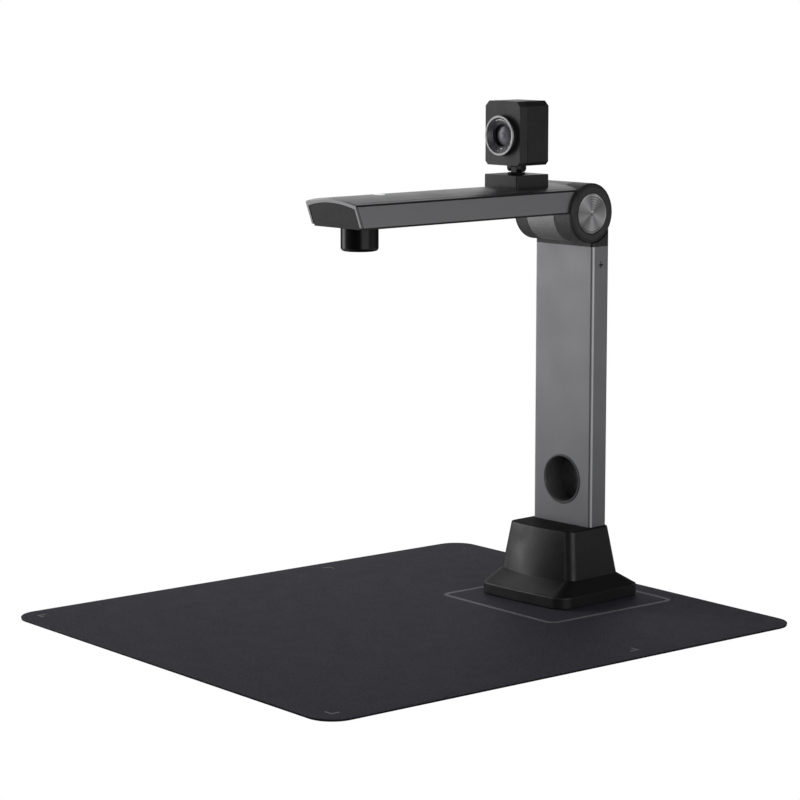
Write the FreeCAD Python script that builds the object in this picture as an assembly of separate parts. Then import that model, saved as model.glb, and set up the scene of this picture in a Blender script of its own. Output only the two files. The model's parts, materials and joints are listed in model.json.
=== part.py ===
import FreeCAD, Part
import math
import os

# Overhead book scanner: a folding camera arm on a column and base, standing on a soft mat.
# Everything is modelled in the stand frame (millimetres): origin at the centre of the base on
# the mat's top face, -Y towards the reader, the arm pointing to -Y. write_parts() moves it all
# to the row frame, whose origin is the centre of the mat's underside.

V = FreeCAD.Vector
X_AXIS = V(1, 0, 0)
Y_AXIS = V(0, 1, 0)
Z_AXIS = V(0, 0, 1)

# ---------------------------------------------------------------- driving dimensions
MAT_WIDTH, MAT_LENGTH, MAT_CORNER = 393.0, 444.0, 20.0
MAT_TURN = -3.5                          # degrees: the loose mat lies a little askew under the stand
MAT_SKIN, MAT_FOAM = 0.6, 1.4
MAT_THICK = MAT_SKIN + MAT_FOAM
STAND_X, STAND_Y = 19.0, 150.0          # where the base stands on the mat

BASE_HALF_W, BASE_HALF_D, BASE_CORNER = 46.5, 45.0, 12.5
BASE_LIFT = 1.0                          # rubber feet hold the base this far off the mat
PLINTH_TOP, SHOULDER_TOP, BASE_TOP = 9.4, 19.5, 56.5
BASE_WALL = 2.2
COVER_TOP = 3.4                          # top of the plate that closes the base

COLUMN_HALF_W, COLUMN_FRONT, COLUMN_BACK = 30.7, 1.2, 19.6
COLUMN_WALL, COLUMN_REAR_WALL, COLUMN_CORNER, COLUMN_TOP = 1.8, 1.4, 2.5, 274.0
COLUMN_MID = (COLUMN_FRONT + COLUMN_BACK) / 2
SIDE_SCREW_Z, SIDE_SCREW_HEAD_R, SIDE_SCREW_R = 260.0, 3.2, 1.6

AXIS_Z = 300.0                           # fold axis, along X through y = 0
BARREL_R = 22.8
BARREL_LEFT, BARREL_RIGHT = -17.0, 12.3  # fixed middle knuckle
GAP = 0.3                                # clearance between parts that turn past each other
SHAFT_R = 5.0
RUNNING = 0.05                           # radial clearance of a shaft in its bore

ARM_HALF_W, ARM_WALL = 28.0, 1.8
ARM_BOTTOM, WALL_BOTTOM = AXIS_Z + 0.4, AXIS_Z + 1.8
GROOVE_LOW, GROOVE_HIGH, GROOVE_DEPTH = AXIS_Z + 17.0, AXIS_Z + 18.4, 0.9
ARM_CROWN = AXIS_Z + 22.1
NOSE_TOP_Y, NOSE_BOTTOM_Y = -237.0, -230.5
NOSE_EDGE, NOSE_FRAME, FRAME_DEPTH = 1.2, 1.2, 3.5
FLANGE_BACK = FRAME_DEPTH + 1.4          # back of the flange on the nose plate
RIB_IN, RIB_OUT, RIB_BOTTOM = 17.5, 24.5, AXIS_Z + 15.2
RIB_X = (RIB_IN + RIB_OUT) / 2

REACH = 209.0                            # fold axis to lens axis, and down to the parking cup
LENS_Y = -REACH
CUP_Z = AXIS_Z - REACH
SHROUD_R, SHROUD_BOTTOM = 13.7, AXIS_Z - 17.2
CUP_R, CUP_WALL, CUP_FLOOR = 17.4, 1.2, 0.5

KEY_Y = -190.0                           # touch key on the arm

FOOT_Y, FOOT_HALF_W, FOOT_HALF_D, FOOT_TOP = -50.6, 17.5, 17.0, AXIS_Z + 30.7
TILT_Z = AXIS_Z + 35.4
HEAD_HALF_W, HEAD_HALF_D = 18.5, 15.0
HEAD_BOTTOM, HEAD_TOP = AXIS_Z + 37.7, AXIS_Z + 85.7
HEAD_WALL, BEZEL_DEPTH = 1.8, 8.0
HEAD_FRONT, HEAD_BACK = FOOT_Y - HEAD_HALF_D, FOOT_Y + HEAD_HALF_D
EYE_Z = AXIS_Z + 60.0                    # height of the face camera's lens


# ---------------------------------------------------------------- shape helpers
def slab(x, y, z, radius=0.0):
    """A box between the pairs x, y and z, with rounded upright edges."""
    box = Part.makeBox(x[1] - x[0], y[1] - y[0], z[1] - z[0], V(x[0], y[0], z[0]))
    if radius:
        upright = [e for e in box.Edges if abs(e.tangentAt(e.FirstParameter).z) > 0.9]
        box = box.makeFillet(radius, upright)
    return box


def rod(radius, span, at, axis):
    """A cylinder along axis, from span[0] to span[1] on that axis, through the point at."""
    start = V(at) - axis * V(at).dot(axis) + axis * span[0]
    return Part.makeCylinder(radius, span[1] - span[0], start, axis)


def tube(outer, inner, span, at, axis):
    return rod(outer, span, at, axis).cut(rod(inner, (span[0] - 1, span[1] + 1), at, axis))


def turned(profile, at, axis):
    """Revolves (radius, height) points round axis, where height is measured along it from at."""
    across = X_AXIS if abs(axis.x) < 0.5 else Y_AXIS
    points = [V(at) + across * r + axis * h for r, h in profile]
    face = Part.Face(Part.makePolygon(points + points[:1]))
    return face.revolve(V(at), axis, 360)


def hexagon(across_flats, span, at, axis):
    """A hexagonal bar along X."""
    corner = across_flats / math.sqrt(3)
    turns = [math.radians(60 * k) for k in range(7)]
    ring = [V(span[0], at[1] + corner * math.cos(t), at[2] + corner * math.sin(t)) for t in turns]
    return Part.Face(Part.makePolygon(ring)).extrude(axis * (span[1] - span[0]))


def joined(*shapes):
    return shapes[0].multiFuse(list(shapes[1:])).removeSplitter()


def mirrored(shape):
    return shape.mirror(V(0, 0, 0), X_AXIS)


def both_sides(shape):
    return [shape, mirrored(shape)]


def group(shapes):
    return Part.makeCompound(shapes)


def edges_in(shape, low, high):
    """The edges whose bounding boxes lie between the corners low and high."""
    found = []
    for edge in shape.Edges:
        b = edge.BoundBox
        inside = all(a >= c - 1e-4 for a, c in zip((b.XMin, b.YMin, b.ZMin), low))
        if inside and all(a <= c + 1e-4 for a, c in zip((b.XMax, b.YMax, b.ZMax), high)):
            found.append(edge)
    return found


def cable(points, radius):
    """A round cable along straight runs joined by tangent arcs as large as the runs allow."""
    edges = []
    start = points[0]
    for before, corner, after in zip(points, points[1:], points[2:]):
        into, out = (corner - before), (after - corner)
        trim = 0.45 * min(into.Length, out.Length)
        a = corner - into.normalize() * trim
        b = corner + out.normalize() * trim
        bisector = (a + b) * 0.5 - corner
        half_turn = (into.getAngle(out)) / 2
        bend = trim / math.tan(half_turn)
        centre = corner + bisector.normalize() * math.hypot(bend, trim)
        middle = centre + (corner - centre).normalize() * bend
        edges += [Part.LineSegment(start, a).toShape(), Part.Arc(a, middle, b).toShape()]
        start = b
    edges.append(Part.LineSegment(start, points[-1]).toShape())
    path = Part.Wire(edges)
    direction = (points[1] - points[0]).normalize()
    section = Part.Wire(Part.makeCircle(radius, points[0], direction))
    return path.makePipeShell([section], True, False)


def pan_screw(at, axis, head_r, head_h, shank_r, shank_len):
    """A pan-head screw with a cross recess: at is the top of its head, axis the way it drives."""
    head = Part.makeCylinder(head_r, head_h, at, axis)
    shank = Part.makeCylinder(shank_r, shank_len, at + axis * head_h, axis)
    recess = cross_recess(at, axis, head_r * 1.2, head_r * 0.32, head_h * 0.6)
    return joined(head, shank).cut(recess)


def cross_recess(at, axis, length, width, depth):
    """Two crossed slots sunk into the face at the point at, along axis."""
    slots = []
    for spin in (0, 90):
        slot = Part.makeBox(length, width, depth * 2, V(-length / 2, -width / 2, -depth))
        slot.rotate(V(0, 0, 0), Z_AXIS, spin)
        slots.append(slot)
    both = slots[0].fuse(slots[1])
    both.Placement = FreeCAD.Placement(at, FreeCAD.Rotation(Z_AXIS, axis))
    return both


# ---------------------------------------------------------------- mat
def mat_layer(z_low, z_high, inset=0.0):
    half_w, half_l = MAT_WIDTH / 2 - inset, MAT_LENGTH / 2 - inset
    layer = slab((-half_w, half_w), (-half_l, half_l), (z_low, z_high), MAT_CORNER - inset)
    layer.Placement = FreeCAD.Placement(V(-STAND_X, -STAND_Y, 0), FreeCAD.Rotation(Z_AXIS, MAT_TURN))
    return layer


# ---------------------------------------------------------------- base
NECK_LOW = dict(half_w=39.5, front=-28.0, rear=26.2, bulge=6.0, radius=7.0)
NECK_HIGH = dict(half_w=34.0, front=-24.0, rear=21.6, bulge=2.2, radius=7.0)
PLINTH = dict(half_w=BASE_HALF_W, front=-BASE_HALF_D, rear=BASE_HALF_D, bulge=0.8,
              radius=BASE_CORNER)
BOSS_X, BOSS_Y = 34.0, 30.5
PAD_X, PAD_Y, PAD_R = 34.5, 17.0, 6.0


def base_outline(z, half_w, front, rear, bulge, radius, inset=0.0):
    """A rounded rectangle at height z, its front side bowed out by bulge."""
    w, f, b, r = half_w - inset, front + inset, rear - inset, radius - inset
    diagonal = r * (1 - math.sqrt(0.5))
    corners = []
    for sx, y, toward in ((-1, f, 1), (1, f, 1), (1, b, -1), (-1, b, -1)):
        side = V(sx * w, y + toward * r, z)
        middle = V(sx * (w - diagonal), y + toward * diagonal, z)
        end = V(sx * (w - r), y, z)
        corners.append((side, middle, end))
    fl, fr, br, bl = corners
    edges = [
        Part.Arc(fl[0], fl[1], fl[2]).toShape(),
        Part.Arc(fl[2], V(0, f - bulge, z), fr[2]).toShape(),
        Part.Arc(fr[2], fr[1], fr[0]).toShape(),
        Part.makeLine(fr[0], br[0]),
        Part.Arc(br[0], br[1], br[2]).toShape(),
        Part.makeLine(br[2], bl[2]),
        Part.Arc(bl[2], bl[1], bl[0]).toShape(),
        Part.makeLine(bl[0], fl[0]),
    ]
    return Part.Wire(edges)


def base_form(inset, bottom, top):
    """The plinth, sloping shoulder and tapered neck of the base as one closed form."""
    shift = -inset / 2
    sections = [(bottom, PLINTH, 0.0), (PLINTH_TOP - 1.0 + shift, PLINTH, 0.0),
                (PLINTH_TOP - 0.3 + shift, PLINTH, 0.3), (PLINTH_TOP + shift, PLINTH, 1.0),
                (SHOULDER_TOP + shift, NECK_LOW, 0.0), (top - 1.5, NECK_HIGH, 0.0),
                (top - 0.4, NECK_HIGH, 0.4), (top, NECK_HIGH, 1.5)]
    wires = [base_outline(z, inset=inset + more, **size) for z, size, more in sections]
    return Part.makeLoft(wires, True, True)


def at_corners(x, y):
    return [V(sx * x, sy * y, 0) for sx in (-1, 1) for sy in (-1, 1)]


def column_slot(clearance, z):
    x = COLUMN_HALF_W + clearance
    return slab((-x, x), (COLUMN_FRONT - clearance, COLUMN_BACK + clearance), z,
                COLUMN_CORNER + clearance)


SOCKET_Z = 5.6
SOCKET_HALF_W, SOCKET_HALF_H = 4.5, 1.65


def socket_opening(clearance, y):
    """The outline of the USB inlet, with round ends, running along Y."""
    half_w, half_h = SOCKET_HALF_W + clearance, SOCKET_HALF_H + clearance
    flat = half_w - half_h
    middle = slab((-flat, flat), y, (SOCKET_Z - half_h, SOCKET_Z + half_h))
    ends = [rod(half_h, y, V(s * flat, 0, SOCKET_Z), Y_AXIS) for s in (-1, 1)]
    return joined(middle, *ends)


def base_shell():
    outer = base_form(0.0, BASE_LIFT, BASE_TOP)
    inner = base_form(BASE_WALL, BASE_LIFT - 1, BASE_TOP - BASE_WALL)
    shell = outer.cut(inner)
    bosses = [rod(3.4, (COVER_TOP, SHOULDER_TOP + 6), p, Z_AXIS).common(outer)
              for p in at_corners(BOSS_X, BOSS_Y)]
    shell = joined(shell, *bosses)
    for p in at_corners(BOSS_X, BOSS_Y):
        shell = shell.cut(rod(1.5, (COVER_TOP - 1, 12), p, Z_AXIS))
    shell = shell.cut(column_slot(0.2, (BASE_TOP - 10, BASE_TOP + 1)))
    return shell.cut(socket_opening(0.25, (BASE_HALF_D - 5, BASE_HALF_D + 1)))


FOOT_SCREW_X = 18.0


def base_cover():
    wire = base_outline(BASE_LIFT, inset=BASE_WALL + 0.2, **PLINTH)
    plate = Part.Face(wire).extrude(V(0, 0, COVER_TOP - BASE_LIFT))
    for p in at_corners(BOSS_X, BOSS_Y):
        plate = plate.cut(rod(1.6, (0, 9), p, Z_AXIS)).cut(rod(3.2, (0, 2.6), p, Z_AXIS))
    for p in at_corners(PAD_X, PAD_Y):
        plate = plate.cut(rod(PAD_R + 0.05, (0, 2.0), p, Z_AXIS))
    for sx in (-1, 1):
        p = V(sx * FOOT_SCREW_X, COLUMN_MID, 0)
        plate = plate.cut(rod(2.1, (0, 9), p, Z_AXIS)).cut(rod(4.2, (0, 2.6), p, Z_AXIS))
    return plate


def rubber_feet():
    profile = [(0, 0), (PAD_R - 0.6, 0), (PAD_R, 0.5), (PAD_R, 2.0), (0, 2.0)]
    return group([turned(profile, p, Z_AXIS) for p in at_corners(PAD_X, PAD_Y)])


def base_screws():
    return group([pan_screw(p + V(0, 0, 1.3), Z_AXIS, 3.0, 1.3, 1.45, 8.5)
                  for p in at_corners(BOSS_X, BOSS_Y)])


def ballast():
    block = slab((-27, 27), (-33, -2.5), (COVER_TOP, 13.4), 2.0)
    return block.makeChamfer(0.8, edges_in(block, (-28, -34, 13.3), (28, -2, 13.5)))


def column_foot():
    """A block inside the bottom of the column, drawn down onto the cover by two screws."""
    half_w = COLUMN_HALF_W - COLUMN_WALL - 0.1
    y = (COLUMN_FRONT + COLUMN_WALL + 0.1, COLUMN_BACK - COLUMN_REAR_WALL - 0.1)
    block = slab((-half_w, 21.5), y, (COVER_TOP, 34), 1.0)
    for sx in (-1, 1):
        block = block.cut(rod(1.95, (0, 30), V(sx * FOOT_SCREW_X, COLUMN_MID, 0), Z_AXIS))
    return block


def column_foot_screws():
    return group([pan_screw(V(sx * FOOT_SCREW_X, COLUMN_MID, 1.2), Z_AXIS, 4.0, 1.4, 1.9, 24)
                  for sx in (-1, 1)])


USB_BOARD_Z = SOCKET_Z + SOCKET_HALF_H


def usb_board():
    board = slab((-20, 20), (21.5, 40.4), (USB_BOARD_Z, USB_BOARD_Z + 1.6), 1.0)
    return board


def usb_socket():
    shell = socket_opening(0.0, (BASE_HALF_D - 8.5, BASE_HALF_D - 0.6))
    hollow = socket_opening(-0.35, (BASE_HALF_D - 7.5, BASE_HALF_D))
    tongue = slab((-3.3, 3.3), (BASE_HALF_D - 8, BASE_HALF_D - 2.2), (SOCKET_Z - 0.35, SOCKET_Z + 0.35))
    return joined(shell.cut(hollow), tongue)


def usb_chips():
    """The hub and video chips, soldered on top of the board."""
    z = USB_BOARD_Z + 1.6
    return group([slab((x, x + w), (y, y + d), (z, z + 1.2)) for x, y, w, d in
                  ((-15, 25, 8, 8), (-3, 24, 6, 6), (7, 26, 9, 7))])


# ---------------------------------------------------------------- column
def column():
    outer = slab((-COLUMN_HALF_W, COLUMN_HALF_W), (COLUMN_FRONT, COLUMN_BACK),
                 (COVER_TOP, COLUMN_TOP), COLUMN_CORNER)
    inner_w = COLUMN_HALF_W - COLUMN_WALL
    inner = slab((-inner_w, inner_w), (COLUMN_FRONT + COLUMN_WALL, COLUMN_BACK - COLUMN_REAR_WALL),
                 (0, COLUMN_TOP + 1), COLUMN_CORNER - 1.5)
    body = outer.cut(inner)
    body = body.cut(rod(CUP_R + CUP_WALL + 0.1, (-5, COLUMN_MID), V(0, 0, CUP_Z), Y_AXIS))
    notch = slab((19.0, 28.0), (COLUMN_BACK - 4, COLUMN_BACK + 4), (COVER_TOP - 1, 18))
    body = body.cut(notch)
    for screw in both_sides(side_screw_form(0.08)):
        body = body.cut(screw)
    return body


def side_screw_form(clearance):
    """The countersunk outline of the screw that holds the hinge head in the column."""
    head, shank = SIDE_SCREW_HEAD_R + clearance, SIDE_SCREW_R + clearance
    profile = [(0, 0.0), (head, 0.0), (head, -0.3 - clearance), (shank, -1.9 - clearance),
               (shank, -9.0), (0, -9.0)]
    return turned(profile, V(COLUMN_HALF_W, COLUMN_MID, SIDE_SCREW_Z), X_AXIS)


def column_side_screws():
    at = V(COLUMN_HALF_W, COLUMN_MID, SIDE_SCREW_Z)
    screw = side_screw_form(0.0).cut(cross_recess(at, V(-1, 0, 0), 4.6, 0.9, 1.0))
    return group(both_sides(screw))


def parking_cup():
    """The blind cup in the column that takes the lens shroud when the arm is folded."""
    outer = CUP_R + CUP_WALL
    lip = COLUMN_FRONT - 0.6
    end = COLUMN_BACK - COLUMN_REAR_WALL
    profile = [(0, end), (0, end - CUP_FLOOR), (CUP_R, end - CUP_FLOOR), (CUP_R, COLUMN_FRONT + 0.4),
               (CUP_R + 0.7, lip), (outer + 0.5, lip), (outer + 0.9, COLUMN_FRONT - 0.2),
               (outer + 0.9, COLUMN_FRONT), (outer, COLUMN_FRONT), (outer, end)]
    return turned(profile, V(0, 0, CUP_Z), Y_AXIS)


# ---------------------------------------------------------------- fold hinge, fixed side
def barrel_axis(x=0.0):
    return V(x, 0, AXIS_Z)


CABLE_X = -2.5                           # where the harness enters the hollow shaft
PLUG_BOTTOM = 246.0
CORE_R = BARREL_R - 1.6


def hinge_head():
    """Plug in the column's top, saddle under the barrel and the core of the fixed knuckle."""
    half_w = COLUMN_HALF_W - COLUMN_WALL - 0.1
    plug = slab((-half_w, half_w),
                (COLUMN_FRONT + COLUMN_WALL + 0.1, COLUMN_BACK - COLUMN_REAR_WALL - 0.1),
                (PLUG_BOTTOM, COLUMN_TOP + 1), 1.0)
    saddle = slab((-COLUMN_HALF_W, COLUMN_HALF_W), (COLUMN_FRONT, COLUMN_BACK),
                  (COLUMN_TOP, AXIS_Z - 8), COLUMN_CORNER)
    saddle = saddle.cut(rod(BARREL_R + 0.4, (-40, 40), barrel_axis(), X_AXIS))
    core = rod(CORE_R, (BARREL_LEFT, BARREL_RIGHT), barrel_axis(), X_AXIS)
    neck = slab((BARREL_LEFT, BARREL_RIGHT), (COLUMN_FRONT, COLUMN_BACK), (COLUMN_TOP, AXIS_Z))
    head = joined(plug, saddle, core, neck)
    head = head.cut(rod(SHAFT_R, (-40, 40), barrel_axis(), X_AXIS))
    wire_way = (CABLE_X - 3.0, CABLE_X + 3.0)
    head = head.cut(slab(wire_way, (2.6, 13.1), (PLUG_BOTTOM - 1, AXIS_Z - 18)))
    head = head.cut(slab(wire_way, (-3.0, 13.1), (AXIS_Z - 18, AXIS_Z)))
    for sx in (-1, 1):
        at = V(sx * half_w, COLUMN_MID, SIDE_SCREW_Z)
        head = head.cut(Part.makeCylinder(SIDE_SCREW_R + 0.05, 8.0, at, V(-sx, 0, 0)))
    return head


def barrel_sleeve():
    """The bright half shell round the fixed knuckle, open where the neck passes."""
    shell = tube(BARREL_R, CORE_R, (BARREL_LEFT, BARREL_RIGHT), barrel_axis(), X_AXIS)
    opening = slab((-40, 40), (COLUMN_FRONT - 0.1, COLUMN_BACK + 0.1), (AXIS_Z - 40, AXIS_Z))
    return shell.cut(opening)


SHAFT_LEFT, SHAFT_RIGHT = -24.4, 25.4


def hinge_shaft():
    shaft = rod(SHAFT_R - 0.02, (SHAFT_LEFT, SHAFT_RIGHT), barrel_axis(), X_AXIS)
    ends = edges_in(shaft, (SHAFT_LEFT, -9, 0), (SHAFT_LEFT, 9, 999))
    ends += edges_in(shaft, (SHAFT_RIGHT, -9, 0), (SHAFT_RIGHT, 9, 999))
    shaft = shaft.makeChamfer(0.6, ends)
    shaft = shaft.cut(rod(2.6, (SHAFT_LEFT - 1, 0.5), barrel_axis(), X_AXIS))
    return shaft.cut(slab((-5.0, 0.0), (-2.2, 2.2), (AXIS_Z - 9, AXIS_Z)))


# ---------------------------------------------------------------- fold hinge, arm side
WEB = 2.0
WASHER = 0.6
DRUM_INNER = BARREL_R - 2.2
SIDES = {"right": (BARREL_RIGHT + GAP, 1), "left": (BARREL_LEFT - GAP, -1)}


def along(start, step, low, high):
    """The X span from low to high mm outboard of start, on the side that step points to."""
    return tuple(sorted((start + step * low, start + step * high)))


def outboard(step, low, high):
    """The X span between two distances from the middle plane, on one side."""
    return tuple(sorted((step * low, step * high)))


def knuckle(side):
    """A cup-shaped drum on the arm, with a window where the steel bracket leaves it."""
    start, step = SIDES[side]
    drum = rod(BARREL_R, tuple(sorted((start, step * ARM_HALF_W))), barrel_axis(), X_AXIS)
    room = rod(DRUM_INNER, tuple(sorted((start + step * WEB, step * 40))), barrel_axis(), X_AXIS)
    drum = drum.cut(room).cut(rod(SHAFT_R + RUNNING, (-40, 40), barrel_axis(), X_AXIS))
    window = slab(outboard(step, abs(start) + WEB, ARM_HALF_W - 1.2), (-BARREL_R - 1, -12),
                  (AXIS_Z + 2.2, AXIS_Z + 15.2))
    return drum.cut(window)


def hinge_bracket(side):
    """Steel plate that grips the shaft through friction washers and bolts to the arm."""
    start, step = SIDES[side]
    web = along(start, step, WEB + WASHER, 2 * WEB + WASHER)
    eye = rod(13.0, web, barrel_axis(), X_AXIS)
    leg = slab(web, (-30, 0), (AXIS_Z + 3.2, RIB_BOTTOM - 1.0))
    foot = slab(web, (-30, -26), (AXIS_Z + 3.2, RIB_BOTTOM))
    flange = slab(outboard(step, 15.2, 25.0), (-54, -26), (RIB_BOTTOM - 2.0, RIB_BOTTOM))
    plate = joined(eye, leg, foot, flange).cut(rod(SHAFT_R + RUNNING, (-40, 40), barrel_axis(), X_AXIS))
    for y in BRACKET_SCREW_Y:
        plate = plate.cut(rod(1.6, (RIB_BOTTOM - 9, RIB_BOTTOM + 9), V(step * RIB_X, y, 0), Z_AXIS))
    return plate


BRACKET_SCREW_Y = (-35.0, -47.0)
COVER_SCREW_Y = (-80.0, -180.0)


def bracket_screws():
    return group([pan_screw(V(sx * RIB_X, y, RIB_BOTTOM - 3.3), Z_AXIS, 2.8, 1.3, 1.25, 4.2)
                  for sx in (-1, 1) for y in BRACKET_SCREW_Y])


def friction_washers():
    """Both faces of the right bracket's eye have one, and the inner face of the left one's."""
    right, left = SIDES["right"][0], SIDES["left"][0]
    spans = [along(right, 1, WEB, WEB + WASHER),
             along(right, 1, 2 * WEB + WASHER, 2 * WEB + 2 * WASHER),
             along(left, -1, WEB, WEB + WASHER)]
    return group([tube(11.0, SHAFT_R + RUNNING, s, barrel_axis(), X_AXIS) for s in spans])


SPRING_START = SIDES["right"][0] + 2 * WEB + 2 * WASHER


def spring_washers():
    """Two dished washers, rim to rim, that load the friction stack."""
    bore, rim, dish, thick = SHAFT_R + RUNNING, 9.0, 1.0, 0.5
    first = [(bore, 0), (rim, dish - thick), (rim, dish), (bore, thick)]
    second = [(bore, 2 * dish), (rim, dish + thick), (rim, dish + 0.02), (bore, 2 * dish - thick)]
    at = barrel_axis(SPRING_START)
    return group([turned(first, at, X_AXIS), turned(second, at, X_AXIS)])


def shaft_nuts():
    right = SPRING_START + 2.0
    left = SIDES["left"][0] - 2 * WEB - WASHER
    nuts = [hexagon(14.0, (right, right + 4.0), barrel_axis(), X_AXIS),
            hexagon(14.0, (left - 2.2, left), barrel_axis(), X_AXIS)]
    return group([n.cut(rod(SHAFT_R, (-40, 40), barrel_axis(), X_AXIS)) for n in nuts])


CAP_OUT = 31.0
DISC_R, DISC_THICK, RING_GROOVE_R = 15.4, 1.3, 20.3


def end_cap():
    """Ring that closes the right drum and frames the bright disc."""
    face = CAP_OUT - ARM_HALF_W
    profile = [(0, 0), (0, face - DISC_THICK - 0.1), (DISC_R + 0.3, face - DISC_THICK - 0.1),
               (DISC_R + 0.3, face - 0.35), (DISC_R + 0.8, face), (RING_GROOVE_R, face),
               (RING_GROOVE_R, face - 0.5), (RING_GROOVE_R + 0.6, face - 0.5),
               (RING_GROOVE_R + 0.6, face), (BARREL_R - 1.3, face),
               (BARREL_R, face - 1.3), (BARREL_R, 0)]
    lid = turned(profile, barrel_axis(ARM_HALF_W), X_AXIS)
    spigot = tube(DRUM_INNER - 0.1, DRUM_INNER - 1.7, (ARM_HALF_W - 2.0, ARM_HALF_W), barrel_axis(), X_AXIS)
    return joined(lid, spigot)


def cap_disc():
    profile = [(0, 0), (DISC_R, 0), (DISC_R, DISC_THICK - 0.3), (DISC_R - 0.3, DISC_THICK), (0, DISC_THICK)]
    return turned(profile, barrel_axis(CAP_OUT - DISC_THICK - 0.1), X_AXIS)


# ---------------------------------------------------------------- arm
def upright_profile(outline):
    """Extrudes an X-Z outline, which may hold one (via, end) arc, along the arm."""
    edges = []
    here = outline[0]
    for step in outline[1:] + outline[:1]:
        if isinstance(step[0], tuple):
            via, end = step
            edges.append(Part.Arc(*(V(x, 0, z) for x, z in (here, via, end))).toShape())
            here = end
        else:
            edges.append(Part.makeLine(V(here[0], 0, here[1]), V(step[0], 0, step[1])))
            here = step
    return Part.Face(Part.Wire(edges)).extrude(V(0, -260, 0))


def arm_outer():
    """The arm's outside, cut off at the nose, with the nose's outer edges broken."""
    w = ARM_HALF_W
    body = upright_profile([(-w, WALL_BOTTOM), (-w, GROOVE_HIGH), ((0, ARM_CROWN), (w, GROOVE_HIGH)),
                            (w, WALL_BOTTOM)])
    body = body.common(behind_nose())
    return body.makeChamfer(NOSE_EDGE, nose_edges(body))


INNER_EDGE = GROOVE_HIGH - 1.9


def arm_inner(clearance=0.0, bottom=AXIS_Z - 5):
    """The hollow of the arm, made smaller by clearance."""
    w = ARM_HALF_W - ARM_WALL - clearance
    return upright_profile([
        (-w, bottom), (-w, INNER_EDGE - clearance),
        ((0, ARM_CROWN - 2.0 - clearance), (w, INNER_EDGE - clearance)), (w, bottom)])


def behind_nose(recess=0.0):
    """Everything behind the slanted plane that ends the arm, recess mm further back."""
    slope = (NOSE_TOP_Y - NOSE_BOTTOM_Y) / (GROOVE_HIGH - ARM_BOTTOM)
    low, high = AXIS_Z - 30, AXIS_Z + 60
    y_low = NOSE_BOTTOM_Y + slope * (low - ARM_BOTTOM) + recess
    y_high = NOSE_BOTTOM_Y + slope * (high - ARM_BOTTOM) + recess
    ring = [V(-60, y_low, low), V(-60, y_high, high), V(-60, 60, high), V(-60, 60, low)]
    return Part.Face(Part.makePolygon(ring + ring[:1])).extrude(V(120, 0, 0))


def barrel_room():
    return rod(BARREL_R + GAP, (-60, 60), barrel_axis(), X_AXIS)


def nose_edges(body):
    """The outer edges of the slanted end face, on its sides and crown."""
    slope = (NOSE_TOP_Y - NOSE_BOTTOM_Y) / (GROOVE_HIGH - ARM_BOTTOM)
    on_rim = []
    for edge in body.Edges:
        ends = [v.Point for v in edge.Vertexes]
        in_plane = all(abs(NOSE_BOTTOM_Y + slope * (p.z - ARM_BOTTOM) - p.y) < 0.01 for p in ends)
        middle = edge.valueAt((edge.FirstParameter + edge.LastParameter) / 2)
        side = abs(abs(middle.x) - ARM_HALF_W) < 0.01 and edge.Length > 5
        crown = middle.z > ARM_CROWN - 0.5 and abs(middle.x) < 1
        if in_plane and (side or crown):
            on_rim.append(edge)
    return on_rim


def arm_shell():
    body = arm_outer().cut(arm_inner().common(behind_nose(FRAME_DEPTH))).cut(arm_inner(NOSE_FRAME))
    rib = slab((RIB_IN, RIB_OUT), (-230, 0), (RIB_BOTTOM, GROOVE_HIGH + 1.0))
    body = joined(body, *both_sides(rib)).common(behind_nose()).cut(barrel_room())
    groove = slab((ARM_HALF_W - GROOVE_DEPTH, ARM_HALF_W + 1), (-260, 30), (GROOVE_LOW, GROOVE_HIGH))
    for strip in both_sides(groove):
        body = body.cut(strip)
    body = body.cut(slab((-60, 60), (-12, 10), (AXIS_Z - 5, AXIS_Z + 50)).cut(barrel_room()))
    for sx in (-1, 1):
        for y in BRACKET_SCREW_Y + COVER_SCREW_Y:
            body = body.cut(rod(1.3, (RIB_BOTTOM - 1, RIB_BOTTOM + 2.6), V(sx * RIB_X, y, 0), Z_AXIS))
        body = body.cut(rod(1.6, (AXIS_Z, AXIS_Z + 40), V(sx * FOOT_SCREW_OFF, FOOT_Y, 0), Z_AXIS))
    body = body.cut(rod(2.0, (AXIS_Z, AXIS_Z + 40), V(0, FOOT_Y, 0), Z_AXIS))
    return body.cut(rod(KEY_R + 0.15, (AXIS_Z, AXIS_Z + 40), V(0, KEY_Y, 0), Z_AXIS))


FOOT_SCREW_OFF = 11.5
KEY_R = 4.2


def arm_front_cap():
    """Dark plate that fills the arm's slanted nose, set back inside the bright rim."""
    fit = 0.15
    plate = arm_inner(NOSE_FRAME + fit, ARM_BOTTOM).common(behind_nose(0.35))
    plate = plate.cut(behind_nose(FRAME_DEPTH + fit))
    flange = arm_inner(fit, ARM_BOTTOM).common(behind_nose(FRAME_DEPTH + fit))
    flange = flange.cut(behind_nose(FLANGE_BACK))
    hooks = [slab(outboard(s, 14, 17), (-240, -222), (AXIS_Z + 17, AXIS_Z + 18.2)) for s in (-1, 1)]
    return joined(plate, flange, *[h.common(behind_nose(FLANGE_BACK - 0.5)) for h in hooks])


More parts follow.
